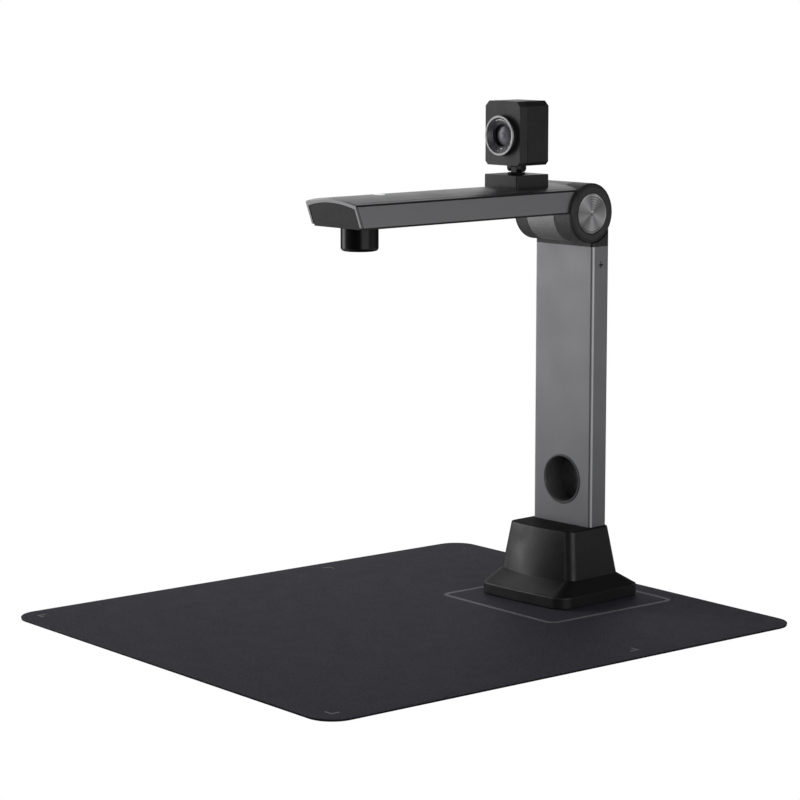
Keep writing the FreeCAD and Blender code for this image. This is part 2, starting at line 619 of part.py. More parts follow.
def arm_bottom_cover():
    """Black cover under the arm: a flat plate, a lip under each wall and four screw posts."""
    w, inner_w = ARM_HALF_W - 0.2, ARM_HALF_W - ARM_WALL - 0.15
    lip = slab((-w, w), (-260, 0), (ARM_BOTTOM, WALL_BOTTOM))
    plate = slab((-inner_w, inner_w), (-260, 0), (WALL_BOTTOM - 0.5, ARM_BOTTOM + 2.0))
    cover = joined(lip, plate).common(behind_nose(FLANGE_BACK + 0.2)).cut(barrel_room())
    posts = [rod(2.8, (ARM_BOTTOM + 1, RIB_BOTTOM), V(sx * RIB_X, y, 0), Z_AXIS)
             for sx in (-1, 1) for y in COVER_SCREW_Y]
    cover = joined(cover, *posts)
    for sx in (-1, 1):
        for y in COVER_SCREW_Y:
            p = V(sx * RIB_X, y, 0)
            cover = cover.cut(rod(1.4, (AXIS_Z, AXIS_Z + 30), p, Z_AXIS))
            cover = cover.cut(rod(2.4, (AXIS_Z, ARM_BOTTOM + 1.5), p, Z_AXIS))
    return cover.cut(rod(SHROUD_R + 0.1, (AXIS_Z - 9, AXIS_Z + 9), V(0, LENS_Y, 0), Z_AXIS))


def cover_screws():
    return group([pan_screw(V(sx * RIB_X, y, ARM_BOTTOM + 0.3), Z_AXIS, 2.3, 1.2, 1.2, 15.6)
                  for sx in (-1, 1) for y in COVER_SCREW_Y])


def touch_key():
    """Frosted touch key for the lamp, a low dome in the crown of the arm."""
    profile = [(0, -0.2), (KEY_R + 1.2, -0.2), (KEY_R + 1.2, -1.0), (0, -1.0)]
    under = turned(profile, V(0, KEY_Y, ARM_CROWN - 2.0), Z_AXIS)
    stem = rod(KEY_R, (ARM_CROWN - 2.4, ARM_CROWN + 0.1), V(0, KEY_Y, 0), Z_AXIS)
    dome = lens_dome(KEY_R, 0.7, 0.2, V(0, KEY_Y, ARM_CROWN + 0.1), Z_AXIS)
    return joined(under, stem, dome)


def touch_board():
    z = ARM_CROWN - 3.0
    return slab((-9, 9), (KEY_Y - 7, KEY_Y + 7), (z - 1.2, z), 1.0)


# ---------------------------------------------------------------- document camera
FLANGE_Z = ARM_BOTTOM + 2.0
BOARD_Z = FLANGE_Z + 1.2
LAMP_IN, LAMP_OUT = 6.4, 11.0


def lens_point(z=0.0):
    return V(0, LENS_Y, z)


def lens_shroud():
    """Turned cup round the lens, with a flange that seats on the cover inside the arm."""
    b = SHROUD_BOTTOM
    outer = rod(SHROUD_R, (b, FLANGE_Z), lens_point(), Z_AXIS)
    outer = outer.makeFillet(2.4, edges_in(outer, (-20, -240, b), (20, -180, b)))
    flange = rod(SHROUD_R + 2.2, (FLANGE_Z, BOARD_Z), lens_point(), Z_AXIS)
    cup = joined(outer, flange)
    cup = cup.cut(rod(SHROUD_R - 1.4, (b + 3.0, BOARD_Z + 1), lens_point(), Z_AXIS))
    cup = cup.cut(rod(LAMP_OUT, (b + 0.6, b + 4), lens_point(), Z_AXIS))
    return cup.cut(rod(LAMP_OUT - 0.5, (b - 1, b + 1), lens_point(), Z_AXIS))


def lamp_window():
    b = SHROUD_BOTTOM
    return tube(LAMP_OUT - 0.05, LAMP_IN, (b + 0.6, b + 1.6), lens_point(), Z_AXIS)


def lamp_board():
    b = SHROUD_BOTTOM
    return tube(SHROUD_R - 1.5, LAMP_IN, (b + 3.0, b + 4.2), lens_point(), Z_AXIS)


def lamp_leds():
    """Eight square LEDs round the lens."""
    z = SHROUD_BOTTOM + 2.2
    chips = []
    for k in range(8):
        chip = slab((-1.3, 1.3), (-1.3, 1.3), (z, z + 0.8))
        chip.translate(V((LAMP_IN + LAMP_OUT) / 2, 0, 0))
        chip.rotate(V(0, 0, 0), Z_AXIS, 45 * k)
        chip.translate(V(0, LENS_Y, 0))
        chips.append(chip)
    return group(chips)


def lens_barrel():
    """Threaded barrel of the document lens, with a conical mouth."""
    b = SHROUD_BOTTOM
    profile = [(4.9, 1.0), (6.2, 0.4), (6.2, 2.2), (5.75, 2.4), (5.75, 16.0), (4.0, 16.0), (4.0, 4.6),
               (4.7, 4.6), (4.7, 2.4)]
    return turned(profile, lens_point(b), Z_AXIS)


def lens_dome(radius, thickness, crown, at, axis):
    """A lens element: flat back, front face domed by crown along axis."""
    across = X_AXIS
    sphere_r = (radius ** 2 + crown ** 2) / (2 * crown)
    bend = math.asin(radius / sphere_r) / 2
    middle = across * sphere_r * math.sin(bend) + axis * (crown - sphere_r * (1 - math.cos(bend)))
    centre_back, rim_back = at - axis * thickness, at - axis * thickness + across * radius
    rim, crown_point = at + across * radius, at + axis * crown
    outline = Part.Wire([Part.makeLine(centre_back, rim_back), Part.makeLine(rim_back, rim),
                         Part.Arc(rim, at + middle, crown_point).toShape(),
                         Part.makeLine(crown_point, centre_back)])
    return Part.Face(outline).revolve(at, axis, 360)


def lens_glass():
    return lens_dome(4.6, 1.2, 0.9, lens_point(SHROUD_BOTTOM + 3.2), V(0, 0, -1))


def lens_mount():
    """Moulded holder that screws the lens barrel down over the sensor."""
    low = SHROUD_BOTTOM + 9.0
    block = joined(rod(8.2, (low, BOARD_Z), lens_point(), Z_AXIS),
                   slab((-9, 9), (LENS_Y - 7.0, LENS_Y + 7.0), (BOARD_Z - 5, BOARD_Z), 1.5))
    block = block.cut(rod(5.8, (low - 1, BOARD_Z + 1), lens_point(), Z_AXIS))
    return block.cut(slab((-6, 6), (LENS_Y - 6, LENS_Y + 6), (BOARD_Z - 2.6, BOARD_Z + 1)))


def image_sensor():
    return slab((-5, 5), (LENS_Y - 5, LENS_Y + 5), (BOARD_Z - 1.5, BOARD_Z), 0.3)


def camera_board():
    board = slab((-19, 19), (LENS_Y - 16, LENS_Y + 17), (BOARD_Z, BOARD_Z + 1.6), 1.5)
    return board


# ---------------------------------------------------------------- swivel of the face camera
def foot_point(z=0.0):
    return V(0, FOOT_Y, z)


def swivel_foot():
    """Block on the arm that carries the face camera, its underside fitted to the crown."""
    x = (-FOOT_HALF_W, FOOT_HALF_W)
    y = (FOOT_Y - FOOT_HALF_D, FOOT_Y + FOOT_HALF_D)
    block = slab(x, y, (AXIS_Z + 15, FOOT_TOP), 1.2)
    block = block.makeFillet(0.5, edges_in(block, (-20, -70, FOOT_TOP), (20, -30, FOOT_TOP)))
    block = block.cut(arm_outer()).cut(slab((-60, 60), (-120, 20), (AXIS_Z, GROOVE_HIGH)))
    block = block.cut(rod(4.0 + RUNNING, (AXIS_Z, FOOT_TOP + 1), foot_point(), Z_AXIS))
    block = block.cut(rod(7.2, (AXIS_Z, FOOT_TOP - 6.2), foot_point(), Z_AXIS))
    for sx in (-1, 1):
        block = block.cut(rod(1.3, (AXIS_Z, FOOT_TOP - 2.5), V(sx * FOOT_SCREW_OFF, FOOT_Y, 0), Z_AXIS))
    return block


def foot_screws():
    """Two screws from inside the arm, up into the foot."""
    z = ARM_CROWN - 3.2
    return group([pan_screw(V(sx * FOOT_SCREW_OFF, FOOT_Y, z - 1.2), Z_AXIS, 2.6, 1.2, 1.25, 7.6)
                  for sx in (-1, 1)])


def swivel_post():
    """Spindle, flange and tilt lug in one piece."""
    top = FOOT_TOP + 0.15
    profile = [(1.7, AXIS_Z + 22.7), (4.0, AXIS_Z + 22.7), (4.0, AXIS_Z + 23.3), (3.2, AXIS_Z + 23.3),
               (3.2, AXIS_Z + 24.4), (4.0, AXIS_Z + 24.4), (4.0, top), (6.5, top), (6.8, top + 0.3),
               (6.8, top + 0.8), (6.4, top + 1.1), (1.7, top + 1.1)]
    spindle = turned(profile, foot_point(), Z_AXIS)
    lug = rod(3.0, (-3.0, 3.0), V(0, FOOT_Y, TILT_Z), X_AXIS)
    neck = slab((-3.0, 3.0), (FOOT_Y - 3.0, FOOT_Y + 3.0), (top + 0.9, TILT_Z))
    post = joined(spindle, lug, neck)
    post = post.cut(rod(1.25 + RUNNING, (-9, 9), V(0, FOOT_Y, TILT_Z), X_AXIS))
    return post


def swivel_clip():
    clip = tube(6.4, 3.25, (AXIS_Z + 23.35, AXIS_Z + 24.35), foot_point(), Z_AXIS)
    return clip.cut(slab((-2.6, 2.6), (FOOT_Y, FOOT_Y + 9), (AXIS_Z + 20, AXIS_Z + 30)))


def tilt_pin():
    pin = rod(1.25, (-7.1, 7.1), V(0, FOOT_Y, TILT_Z), X_AXIS)
    heads = edges_in(pin, (7.1, -99, 0), (7.1, 0, 999)) + edges_in(pin, (-7.1, -99, 0), (-7.1, 0, 999))
    return pin.makeChamfer(0.3, heads)


# ---------------------------------------------------------------- face camera
def head_block(inset):
    """The face camera's outer form, its four edges from front to back chamfered."""
    x = (-HEAD_HALF_W + inset, HEAD_HALF_W - inset)
    y = (HEAD_FRONT + inset, HEAD_BACK - inset)
    z = (HEAD_BOTTOM + inset, HEAD_TOP - inset)
    block = slab(x, y, z)
    for height, chamfer in ((z[1], 3.8), (z[0], 2.6)):
        lengthwise = [e for e in edges_in(block, (-30, -99, height), (30, 0, height))
                      if abs(e.tangentAt(e.FirstParameter).y) > 0.9]
        block = block.makeChamfer(chamfer - inset * 0.6, lengthwise)
    return block


SPLIT_Y = HEAD_FRONT + BEZEL_DEPTH
RING_R, RING_IN, RING_OUT, CONE_END = 15.2, 12.9, 4.0, 8.2
EYE_HOLE = 13.8


def eye_point():
    return V(0, 0, EYE_Z)


def head_front():
    shell = head_block(0.0).cut(head_block(HEAD_WALL))
    shell = shell.common(slab((-60, 60), (-120, SPLIT_Y), (AXIS_Z, AXIS_Z + 120)))
    seat = tube(EYE_HOLE + 1.4, EYE_HOLE, (HEAD_FRONT, HEAD_FRONT + 4.5), eye_point(), Y_AXIS)
    return joined(shell, seat).cut(rod(EYE_HOLE, (-120, SPLIT_Y), eye_point(), Y_AXIS))


def head_rear():
    shell = head_block(0.0).cut(head_block(HEAD_WALL))
    shell = shell.common(slab((-60, 60), (SPLIT_Y + 0.1, 0), (AXIS_Z, AXIS_Z + 120)))
    ear = joined(rod(3.0, (3.3, 7.3), V(0, FOOT_Y, TILT_Z), X_AXIS),
                 slab((3.3, 7.3), (FOOT_Y - 3.0, FOOT_Y + 3.0), (TILT_Z, HEAD_BOTTOM + 0.5)))
    shell = joined(shell, *both_sides(ear))
    shell = shell.cut(rod(3.4, (-3.3, 3.3), V(0, FOOT_Y, TILT_Z), X_AXIS))
    shell = shell.cut(rod(1.25, (-9, 9), V(0, FOOT_Y, TILT_Z), X_AXIS))
    bosses = []
    for sx in (-1, 1):
        for z in HEAD_SCREW_Z:
            bosses.append(rod(2.3, (SPLIT_Y + 8, HEAD_BACK - 1), V(sx * HEAD_SCREW_X, 0, z), Y_AXIS))
    shell = joined(shell, *bosses)
    for sx in (-1, 1):
        for z in HEAD_SCREW_Z:
            at = V(sx * HEAD_SCREW_X, 0, z)
            shell = shell.cut(rod(1.1, (SPLIT_Y + 7, HEAD_BACK + 1), at, Y_AXIS))
            shell = shell.cut(rod(2.1, (HEAD_BACK - 1.5, HEAD_BACK + 1), at, Y_AXIS))
    return shell


HEAD_SCREW_X = 13.4
HEAD_SCREW_Z = (HEAD_BOTTOM + 6.4, HEAD_TOP - 7.4)


def head_screws():
    return group([pan_screw(V(sx * HEAD_SCREW_X, HEAD_BACK - 0.2, z), V(0, -1, 0), 1.9, 1.2, 1.05, 7.0)
                  for sx in (-1, 1) for z in HEAD_SCREW_Z])


def focus_ring():
    """Bright ring round the face camera's lens; its collar sits in the front's round hole."""
    collar = EYE_HOLE - RUNNING
    shoulder = RING_OUT - 0.25
    profile = [(RING_IN + 0.6, 0), (RING_R - 0.5, 0), (RING_R, 0.5), (RING_R, shoulder), (collar, shoulder),
               (collar, CONE_END), (RING_IN, CONE_END), (RING_IN, 0.6)]
    return turned(profile, V(0, HEAD_FRONT - RING_OUT, EYE_Z), Y_AXIS)


def eye_barrel():
    """Black lens barrel with a stepped cone in front, which keeps stray light off the glass."""
    cone_in, cone_out, deep, shallow, steps = 9.6, RING_IN - 0.05, 3.5, 0.9, 5
    profile = [(8.1, 3.7), (9.0, 3.3)]
    for k in range(steps):
        height = deep + (shallow - deep) * k / (steps - 1)
        inner = cone_in + (cone_out - cone_in) * k / steps
        outer = cone_in + (cone_out - cone_in) * (k + 1) / steps
        profile += [(inner, height), (outer, height)]
    profile += [(cone_out, CONE_END), (9.65, CONE_END), (9.65, 16.5), (6.0, 16.5), (6.0, 7.6), (7.9, 7.6),
                (7.9, 4.6)]
    return turned(profile, V(0, HEAD_FRONT - RING_OUT, EYE_Z), Y_AXIS)


def eye_glass():
    at = V(0, HEAD_FRONT - RING_OUT + 5.9, EYE_Z)
    return lens_dome(7.85, 1.6, 1.5, at, V(0, -1, 0))


EYE_BOARD_Y = HEAD_FRONT + 14.6


def eye_board():
    return slab((-15, 15), (EYE_BOARD_Y, EYE_BOARD_Y + 1.4), (EYE_Z - 13, EYE_Z + 16))


def eye_sensor():
    return slab((-4, 4), (EYE_BOARD_Y - 1.4, EYE_BOARD_Y), (EYE_Z - 4, EYE_Z + 4))


# ---------------------------------------------------------------- wiring
def column_harness():
    """Bundle from the USB board, up the column beside the cup and into the hollow shaft."""
    return cable([
        V(19, 31, 10.6), V(21.5, 23, 11.2), V(24, 15, 14.5), V(24.6, 10.2, 26), V(24.9, 10, 52),
        V(24.4, 9.9, 96), V(24.8, 10, 140), V(18, 10, 182), V(4, 10.2, 222), V(CABLE_X, 9.6, 252),
        V(CABLE_X - 0.1, 8.4, 271), V(CABLE_X, 3.4, 284), V(CABLE_X, 0, 293)], 1.6)


def arm_harness():
    """Bundle from the left end of the shaft, out through the drum and along the arm."""
    return cable([
        V(-22.6, 0, AXIS_Z), V(-26.3, 0.1, AXIS_Z), V(-26.2, -8.4, AXIS_Z + 2.6),
        V(-24.6, -17, AXIS_Z + 6.0), V(-24.2, -34, AXIS_Z + 7.6), V(-24.2, -58, AXIS_Z + 7.2), V(-10, -84, AXIS_Z + 6.6),
        V(-1, -122, AXIS_Z + 6.8), V(1.5, -162, AXIS_Z + 6.4), V(1, -197, AXIS_Z + 6.6)], 1.2)


# ---------------------------------------------------------------- export
def all_parts():
    parts = {
        "mat_skin": mat_layer(-MAT_SKIN, 0.0),
        "mat_foam": mat_layer(-MAT_THICK, -MAT_SKIN, 0.25),
        "base_shell": base_shell(),
        "base_cover": base_cover(),
        "base_screws": base_screws(),
        "rubber_feet": rubber_feet(),
        "ballast": ballast(),
        "usb_board": usb_board(),
        "usb_chips": usb_chips(),
        "usb_socket": usb_socket(),
        "column": column(),
        "column_foot": column_foot(),
        "column_foot_screws": column_foot_screws(),
        "column_side_screws": column_side_screws(),
        "parking_cup": parking_cup(),
        "column_harness": column_harness(),
        "hinge_head": hinge_head(),
        "barrel_sleeve": barrel_sleeve(),
        "hinge_shaft": hinge_shaft(),
        "friction_washers": friction_washers(),
        "spring_washers": spring_washers(),
        "shaft_nuts": shaft_nuts(),
        "bracket_screws": bracket_screws(),
        "end_cap_right": end_cap(),
        "end_cap_left": mirrored(end_cap()),
        "cap_disc_right": cap_disc(),
        "cap_disc_left": mirrored(cap_disc()),
        "arm_shell": arm_shell(),
        "arm_front_cap": arm_front_cap(),
        "arm_bottom_cover": arm_bottom_cover(),
        "cover_screws": cover_screws(),
        "touch_key": touch_key(),
        "touch_board": touch_board(),
        "arm_harness": arm_harness(),
        "lens_shroud": lens_shroud(),
        "lamp_window": lamp_window(),
        "lamp_board": lamp_board(),
        "lamp_leds": lamp_leds(),
        "lens_barrel": lens_barrel(),
        "lens_glass": lens_glass(),
        "lens_mount": lens_mount(),
        "image_sensor": image_sensor(),
        "camera_board": camera_board(),
        "swivel_foot": swivel_foot(),
        "foot_screws": foot_screws(),
        "swivel_post": swivel_post(),
        "swivel_clip": swivel_clip(),
        "tilt_pin": tilt_pin(),
        "head_front": head_front(),
        "head_rear": head_rear(),
        "head_screws": head_screws(),
        "focus_ring": focus_ring(),
        "eye_barrel": eye_barrel(),
        "eye_glass": eye_glass(),
        "eye_board": eye_board(),
        "eye_sensor": eye_sensor(),
    }
    for side in SIDES:
        parts["knuckle_" + side] = knuckle(side)
        parts["hinge_bracket_" + side] = hinge_bracket(side)
    return parts


def write_parts():
    os.makedirs("parts", exist_ok=True)
    to_row = V(STAND_X, STAND_Y, MAT_THICK)
    for name, shape in all_parts().items():
        moved = shape.copy()
        moved.translate(to_row)
        moved.exportStep(os.path.join("parts", name + ".step"))
        solids = len(moved.Solids)
        print(f"{name:22s} solids {solids:2d} volume {moved.Volume:11.1f} valid {moved.isValid()}")


write_parts()
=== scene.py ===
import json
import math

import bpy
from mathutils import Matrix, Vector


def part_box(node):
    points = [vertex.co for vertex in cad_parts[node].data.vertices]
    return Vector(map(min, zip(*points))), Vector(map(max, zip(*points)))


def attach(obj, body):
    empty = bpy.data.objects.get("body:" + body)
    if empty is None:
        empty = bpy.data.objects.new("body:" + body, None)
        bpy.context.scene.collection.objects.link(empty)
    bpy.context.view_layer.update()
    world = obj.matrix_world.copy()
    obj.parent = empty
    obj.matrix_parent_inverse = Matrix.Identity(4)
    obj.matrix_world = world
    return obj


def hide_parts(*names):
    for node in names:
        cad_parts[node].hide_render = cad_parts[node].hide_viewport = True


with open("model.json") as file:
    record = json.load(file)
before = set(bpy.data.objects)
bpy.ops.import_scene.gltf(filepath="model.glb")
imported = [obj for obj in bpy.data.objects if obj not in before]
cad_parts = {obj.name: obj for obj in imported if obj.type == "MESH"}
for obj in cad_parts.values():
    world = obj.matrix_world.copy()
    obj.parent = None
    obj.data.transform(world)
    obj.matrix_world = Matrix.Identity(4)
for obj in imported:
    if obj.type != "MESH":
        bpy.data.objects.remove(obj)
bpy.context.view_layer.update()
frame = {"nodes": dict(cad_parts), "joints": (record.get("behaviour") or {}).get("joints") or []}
# %% [markdown]
# # A folding book scanner, finished in Blender
# The frame above is the measured model: every housing, screw, board and lens, in metres, each in its place.
# This lesson gives it its looks. First come the camera, the light and the floor. Then the finishes are made,
# one short function each. Then the pieces that plain solids can't show well are modelled by hand: the soft
# mat and its printed lines, the turned discs and rings, and housings with softly broken edges.

MM = 0.001

# %% [markdown]
# ## Where things are
# Every place is read from the frame. The hinge axis is the arm joint's own point, the mat's top is the top of
# its leather, and so on, so a change of a size in the model moves the looks with it.

# %% Places
JOINTS = {joint["name"]: joint for joint in frame["joints"]}
HINGE = Vector(JOINTS["arm_fold"]["pos_m"])
MAT_LOW, MAT_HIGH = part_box("mat_skin")
FOAM_LOW, FOAM_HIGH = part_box("mat_foam")
MAT_TOP = MAT_HIGH.z
BASE_LOW, BASE_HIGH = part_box("base_shell")
STAND_X = (BASE_LOW.x + BASE_HIGH.x) / 2
print("hinge at", tuple(round(c, 4) for c in HINGE))
print("mat top", round(MAT_TOP, 5), "stand x", round(STAND_X, 4))


def middle(node):
    """The centre of a node's box."""
    low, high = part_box(node)
    return (low + high) / 2


# %% [markdown]
# ## Camera
# The stand is seen from its right front, a little above the arm's height, through a long lens, so upright
# edges stay nearly parallel. The camera looks at a point between the column and the tip of the arm.

# %% Camera
AZIMUTH, ELEVATION = math.radians(47.5), math.radians(8.6)
DISTANCE, LENS = 2.108, 122.3
AIM = Vector((-0.0655, 0.0577, 0.1552))
towards_camera = Vector((math.sin(AZIMUTH) * math.cos(ELEVATION),
                         -math.cos(AZIMUTH) * math.cos(ELEVATION), math.sin(ELEVATION)))
lens_data = bpy.data.cameras.new("camera")
lens_data.lens = LENS
lens_data.sensor_width = 36
lens_data.clip_end = 400
camera = bpy.data.objects.new("camera", lens_data)
camera.location = AIM + towards_camera * DISTANCE
camera.rotation_euler = towards_camera.to_track_quat("Z", "Y").to_euler()
bpy.context.scene.collection.objects.link(camera)
bpy.context.scene.camera = camera
bpy.context.scene.view_settings.view_transform = "Standard"
print("camera", tuple(round(c, 3) for c in camera.location))

# %% [markdown]
# ## Light
# A product like this is shot on a white sweep, with large soft panels. The key panel stands low at the left
# front, where the column's wide front mirrors it, and a weak one above it lights the crowns. The side panel
# stands low at the right: the rounded right corners mirror it as thin bright lines, while the narrow faces
# beside them stay darker, so the box shapes read. Two weak panels at the rear catch what faces them. Nothing
# hangs overhead, which keeps the black tops black. The sky is plain, brighter to the eye than to the object,
# so the background stays white without washing the blacks out.

# %% Light
def soft_panel(name, azimuth, elevation, distance, width, height, watts):
    """A rectangular light that faces the middle of the stand."""
    azimuth, elevation = math.radians(azimuth), math.radians(elevation)
    direction = Vector((math.sin(azimuth) * math.cos(elevation),
                        -math.cos(azimuth) * math.cos(elevation), math.sin(elevation)))
    data = bpy.data.lights.new(name, "AREA")
    data.shape = "RECTANGLE"
    data.size, data.size_y, data.energy = width, height, watts
    panel = bpy.data.objects.new(name, data)
    panel.location = AIM + direction * distance
    panel.rotation_euler = direction.to_track_quat("Z", "Y").to_euler()
    panel.visible_camera = False
    bpy.context.scene.collection.objects.link(panel)
    return panel


# azimuth and elevation in degrees, then distance, width and height in metres, then watts
soft_panel("key_panel", -60, 6, 2.2, 1.1, 2.4, 27)
soft_panel("left_high_panel", -84, 42, 2.2, 0.9, 0.8, 3)
soft_panel("side_panel", 80, 6, 2.2, 1.8, 1.6, 15)
soft_panel("far_panel", 226, 16, 2.6, 1.6, 0.9, 3.9)
soft_panel("far_high_panel", 226, 38, 2.4, 1.6, 0.8, 2)
print("panels:", {light.name: light.energy for light in bpy.data.lights})

# %% [markdown]
# ## Sky
# A dim, even light all round fills the shadows a little. A white card behind the stand could make the
# background, but it would also show in the metal. So the world is built twice, once as the eye sees it and
# once as the object feels it, and the light path picks between them.

# %% Sky
def plain_sky(seen, felt):
    """A world that looks as bright as seen and lights the object with felt."""
    world = bpy.data.worlds.new("sky")
    bpy.context.scene.world = world
    world.use_nodes = True
    nodes, links = world.node_tree.nodes, world.node_tree.links
    nodes.clear()
    path = nodes.new("ShaderNodeLightPath")
    lit, shown = nodes.new("ShaderNodeBackground"), nodes.new("ShaderNodeBackground")
    lit.inputs["Color"].default_value = (0.97, 0.98, 1.0, 1)
    lit.inputs["Strength"].default_value = felt
    shown.inputs["Color"].default_value = (1, 1, 1, 1)
    shown.inputs["Strength"].default_value = seen
    mix, out = nodes.new("ShaderNodeMixShader"), nodes.new("ShaderNodeOutputWorld")
    links.new(path.outputs["Is Camera Ray"], mix.inputs["Fac"])
    links.new(lit.outputs[0], mix.inputs[1])
    links.new(shown.outputs[0], mix.inputs[2])
    links.new(mix.outputs[0], out.inputs["Surface"])


plain_sky(seen=1.0, felt=0.06)
print("sky strengths:", [node.inputs["Strength"].default_value
                         for node in bpy.context.scene.world.node_tree.nodes if node.type == "BACKGROUND"])

# %% [markdown]
# ## Finishes
# Each finish is one Principled shader. Numbers that are the same all over are set on the shader itself. What
# varies, such as grain, streaks, mottling and uneven gloss, is driven by noise read in the object's own
# coordinates, so it stays put on the piece at its real scale, whatever the view.

# %% Finish helpers
def plain_finish(name, base, roughness, metallic=0.0, **more):
    """A material with one Principled shader; more holds further socket values by name."""
    finish = bpy.data.materials.new(name)
    finish.use_nodes = True
    shader = finish.node_tree.nodes["Principled BSDF"]
    shader.inputs["Base Color"].default_value = (*base, 1)
    shader.inputs["Roughness"].default_value = roughness
    shader.inputs["Metallic"].default_value = metallic
    for socket, value in more.items():
        shader.inputs[socket.replace("_", " ")].default_value = value
    return finish


def shader_of(finish):
    """The Principled shader of a material."""
    return finish.node_tree.nodes["Principled BSDF"]


def new_nodes(finish, *kinds):
    """New shader nodes of the kinds given, in that order."""
    return [finish.node_tree.nodes.new("ShaderNode" + kind) for kind in kinds]


def noise(finish, scale, stretch=(1, 1, 1), detail=3.0, roughness=0.5):
    """Noise in object coordinates; scale is in cells per metre, stretch multiplies it along each axis."""
    links = finish.node_tree.links
    place, mapping, texture = new_nodes(finish, "TexCoord", "Mapping", "TexNoise")
    mapping.inputs["Scale"].default_value = stretch
    texture.inputs["Scale"].default_value = scale
    texture.inputs["Detail"].default_value = detail
    texture.inputs["Roughness"].default_value = roughness
    links.new(place.outputs["Object"], mapping.inputs["Vector"])
    links.new(mapping.outputs["Vector"], texture.inputs["Vector"])
    return texture.outputs["Fac"]


def vary_colour(finish, factor, first, second, low=0.35, high=0.65):
    """Base colour from first to second as factor goes from low to high."""
    links = finish.node_tree.links
    ramp = new_nodes(finish, "ValToRGB")[0]
    ramp.color_ramp.elements[0].position, ramp.color_ramp.elements[1].position = low, high
    ramp.color_ramp.elements[0].color = (*first, 1)
    ramp.color_ramp.elements[1].color = (*second, 1)
    links.new(factor, ramp.inputs["Fac"])
    links.new(ramp.outputs["Color"], shader_of(finish).inputs["Base Color"])


def vary_roughness(finish, factor, smooth, rough):
    """Roughness from smooth to rough as factor goes through its middle range."""
    links = finish.node_tree.links
    span = new_nodes(finish, "MapRange")[0]
    span.inputs["From Min"].default_value, span.inputs["From Max"].default_value = 0.3, 0.7
    span.inputs["To Min"].default_value, span.inputs["To Max"].default_value = smooth, rough
    links.new(factor, span.inputs["Value"])
    links.new(span.outputs["Result"], shader_of(finish).inputs["Roughness"])


def emboss(finish, height, depth, strength=1.0):
    """Surface relief: depth in metres between the height's lowest and highest values. Reliefs add up."""
    links = finish.node_tree.links
    bump = new_nodes(finish, "Bump")[0]
    bump.inputs["Distance"].default_value = depth
    bump.inputs["Strength"].default_value = strength
    normal = shader_of(finish).inputs["Normal"]
    if normal.links:
        links.new(normal.links[0].from_socket, bump.inputs["Normal"])
    links.new(height, bump.inputs["Height"])
    links.new(bump.outputs["Normal"], normal)


# %% [markdown]
# ### Anodised aluminium
# The column and the arm are extruded aluminium, blasted and anodised grey. Extrusion leaves very fine streaks
# along the length, so the noise is stretched that way: along Z on the column, along Y on the arm. Anodising
# is a hard, slightly milky skin, so the metal is rough and its reflections are broad.

# %% Anodised aluminium
def shade(base, factor):
    """A colour made darker or lighter by a factor."""
    return tuple(c * factor for c in base)


def anodised(name, base, streaks, roughness):
    """Anodised metal with streaks; streaks is the noise's stretch along each axis."""
    finish = plain_finish(name, base, roughness, metallic=0.9)
    fine = noise(finish, 2600, streaks, detail=4)
    vary_colour(finish, fine, shade(base, 0.975), shade(base, 1.025))
    vary_roughness(finish, noise(finish, 38, detail=2), roughness - 0.03, roughness + 0.03)
    emboss(finish, noise(finish, 3200, detail=2), 0.00002, 0.5)
    emboss(finish, fine, 0.00001, 0.25)
    return finish


ALONG_Z, ALONG_Y = (1, 1, 0.02), (1, 0.02, 1)
column_grey = anodised("column_anodised_grey", (0.30, 0.30, 0.313), ALONG_Z, 0.52)
# The corners' lighter copy of the column's finish is a painted highlight.
column_corner_painted_highlight = anodised("column_corner_painted_highlight", (0.60, 0.60, 0.617), ALONG_Z, 0.5)
arm_grey = anodised("arm_anodised_grey", (0.30, 0.30, 0.31), ALONG_Y, 0.40)
print("anodised:", [finish.name for finish in (column_grey, column_corner_painted_highlight, arm_grey)])

# %% [markdown]
# ### Turned metal
# The barrel's sleeve is turned, and the discs at its ends are spun. Both processes leave rings too fine to
# see one by one, which draw the light out across them, so the shader is anisotropic with a tangent round the
# hinge axis. On a disc this gives a fan of bright and dark wedges. The lights here are too soft to draw it
# alone, so the fan is also painted into the base colour, from a gradient that turns round the axis: a painted
# reflection.

# %% Turned metal
def turned_metal(name, base, roughness):
    """Metal from a lathe or a brush, with rings too fine to see one by one round the hinge axis."""
    finish = plain_finish(name, base, roughness, metallic=1.0, Anisotropic=0.9)
    links = finish.node_tree.links
    tangent = new_nodes(finish, "Tangent")[0]
    tangent.direction_type = "RADIAL"
    tangent.axis = "X"
    links.new(tangent.outputs["Tangent"], shader_of(finish).inputs["Tangent"])
    return finish


def rings_about(finish, centre, per_metre, depth):
    """Fine circular tool marks in the plane across X, centred on a point."""
    links = finish.node_tree.links
    place, mapping, rings = new_nodes(finish, "TexCoord", "Mapping", "TexWave")
    mapping.inputs["Scale"].default_value = (0, 1, 1)
    mapping.inputs["Location"].default_value = (0, -centre.y, -centre.z)
    rings.wave_type = "RINGS"
    rings.rings_direction = "SPHERICAL"
    rings.inputs["Scale"].default_value = per_metre
    rings.inputs["Distortion"].default_value = 0.6
    rings.inputs["Detail"].default_value = 2
    links.new(place.outputs["Object"], mapping.inputs["Vector"])
    links.new(mapping.outputs["Vector"], rings.inputs["Vector"])
    emboss(finish, rings.outputs["Fac"], depth, 0.5)


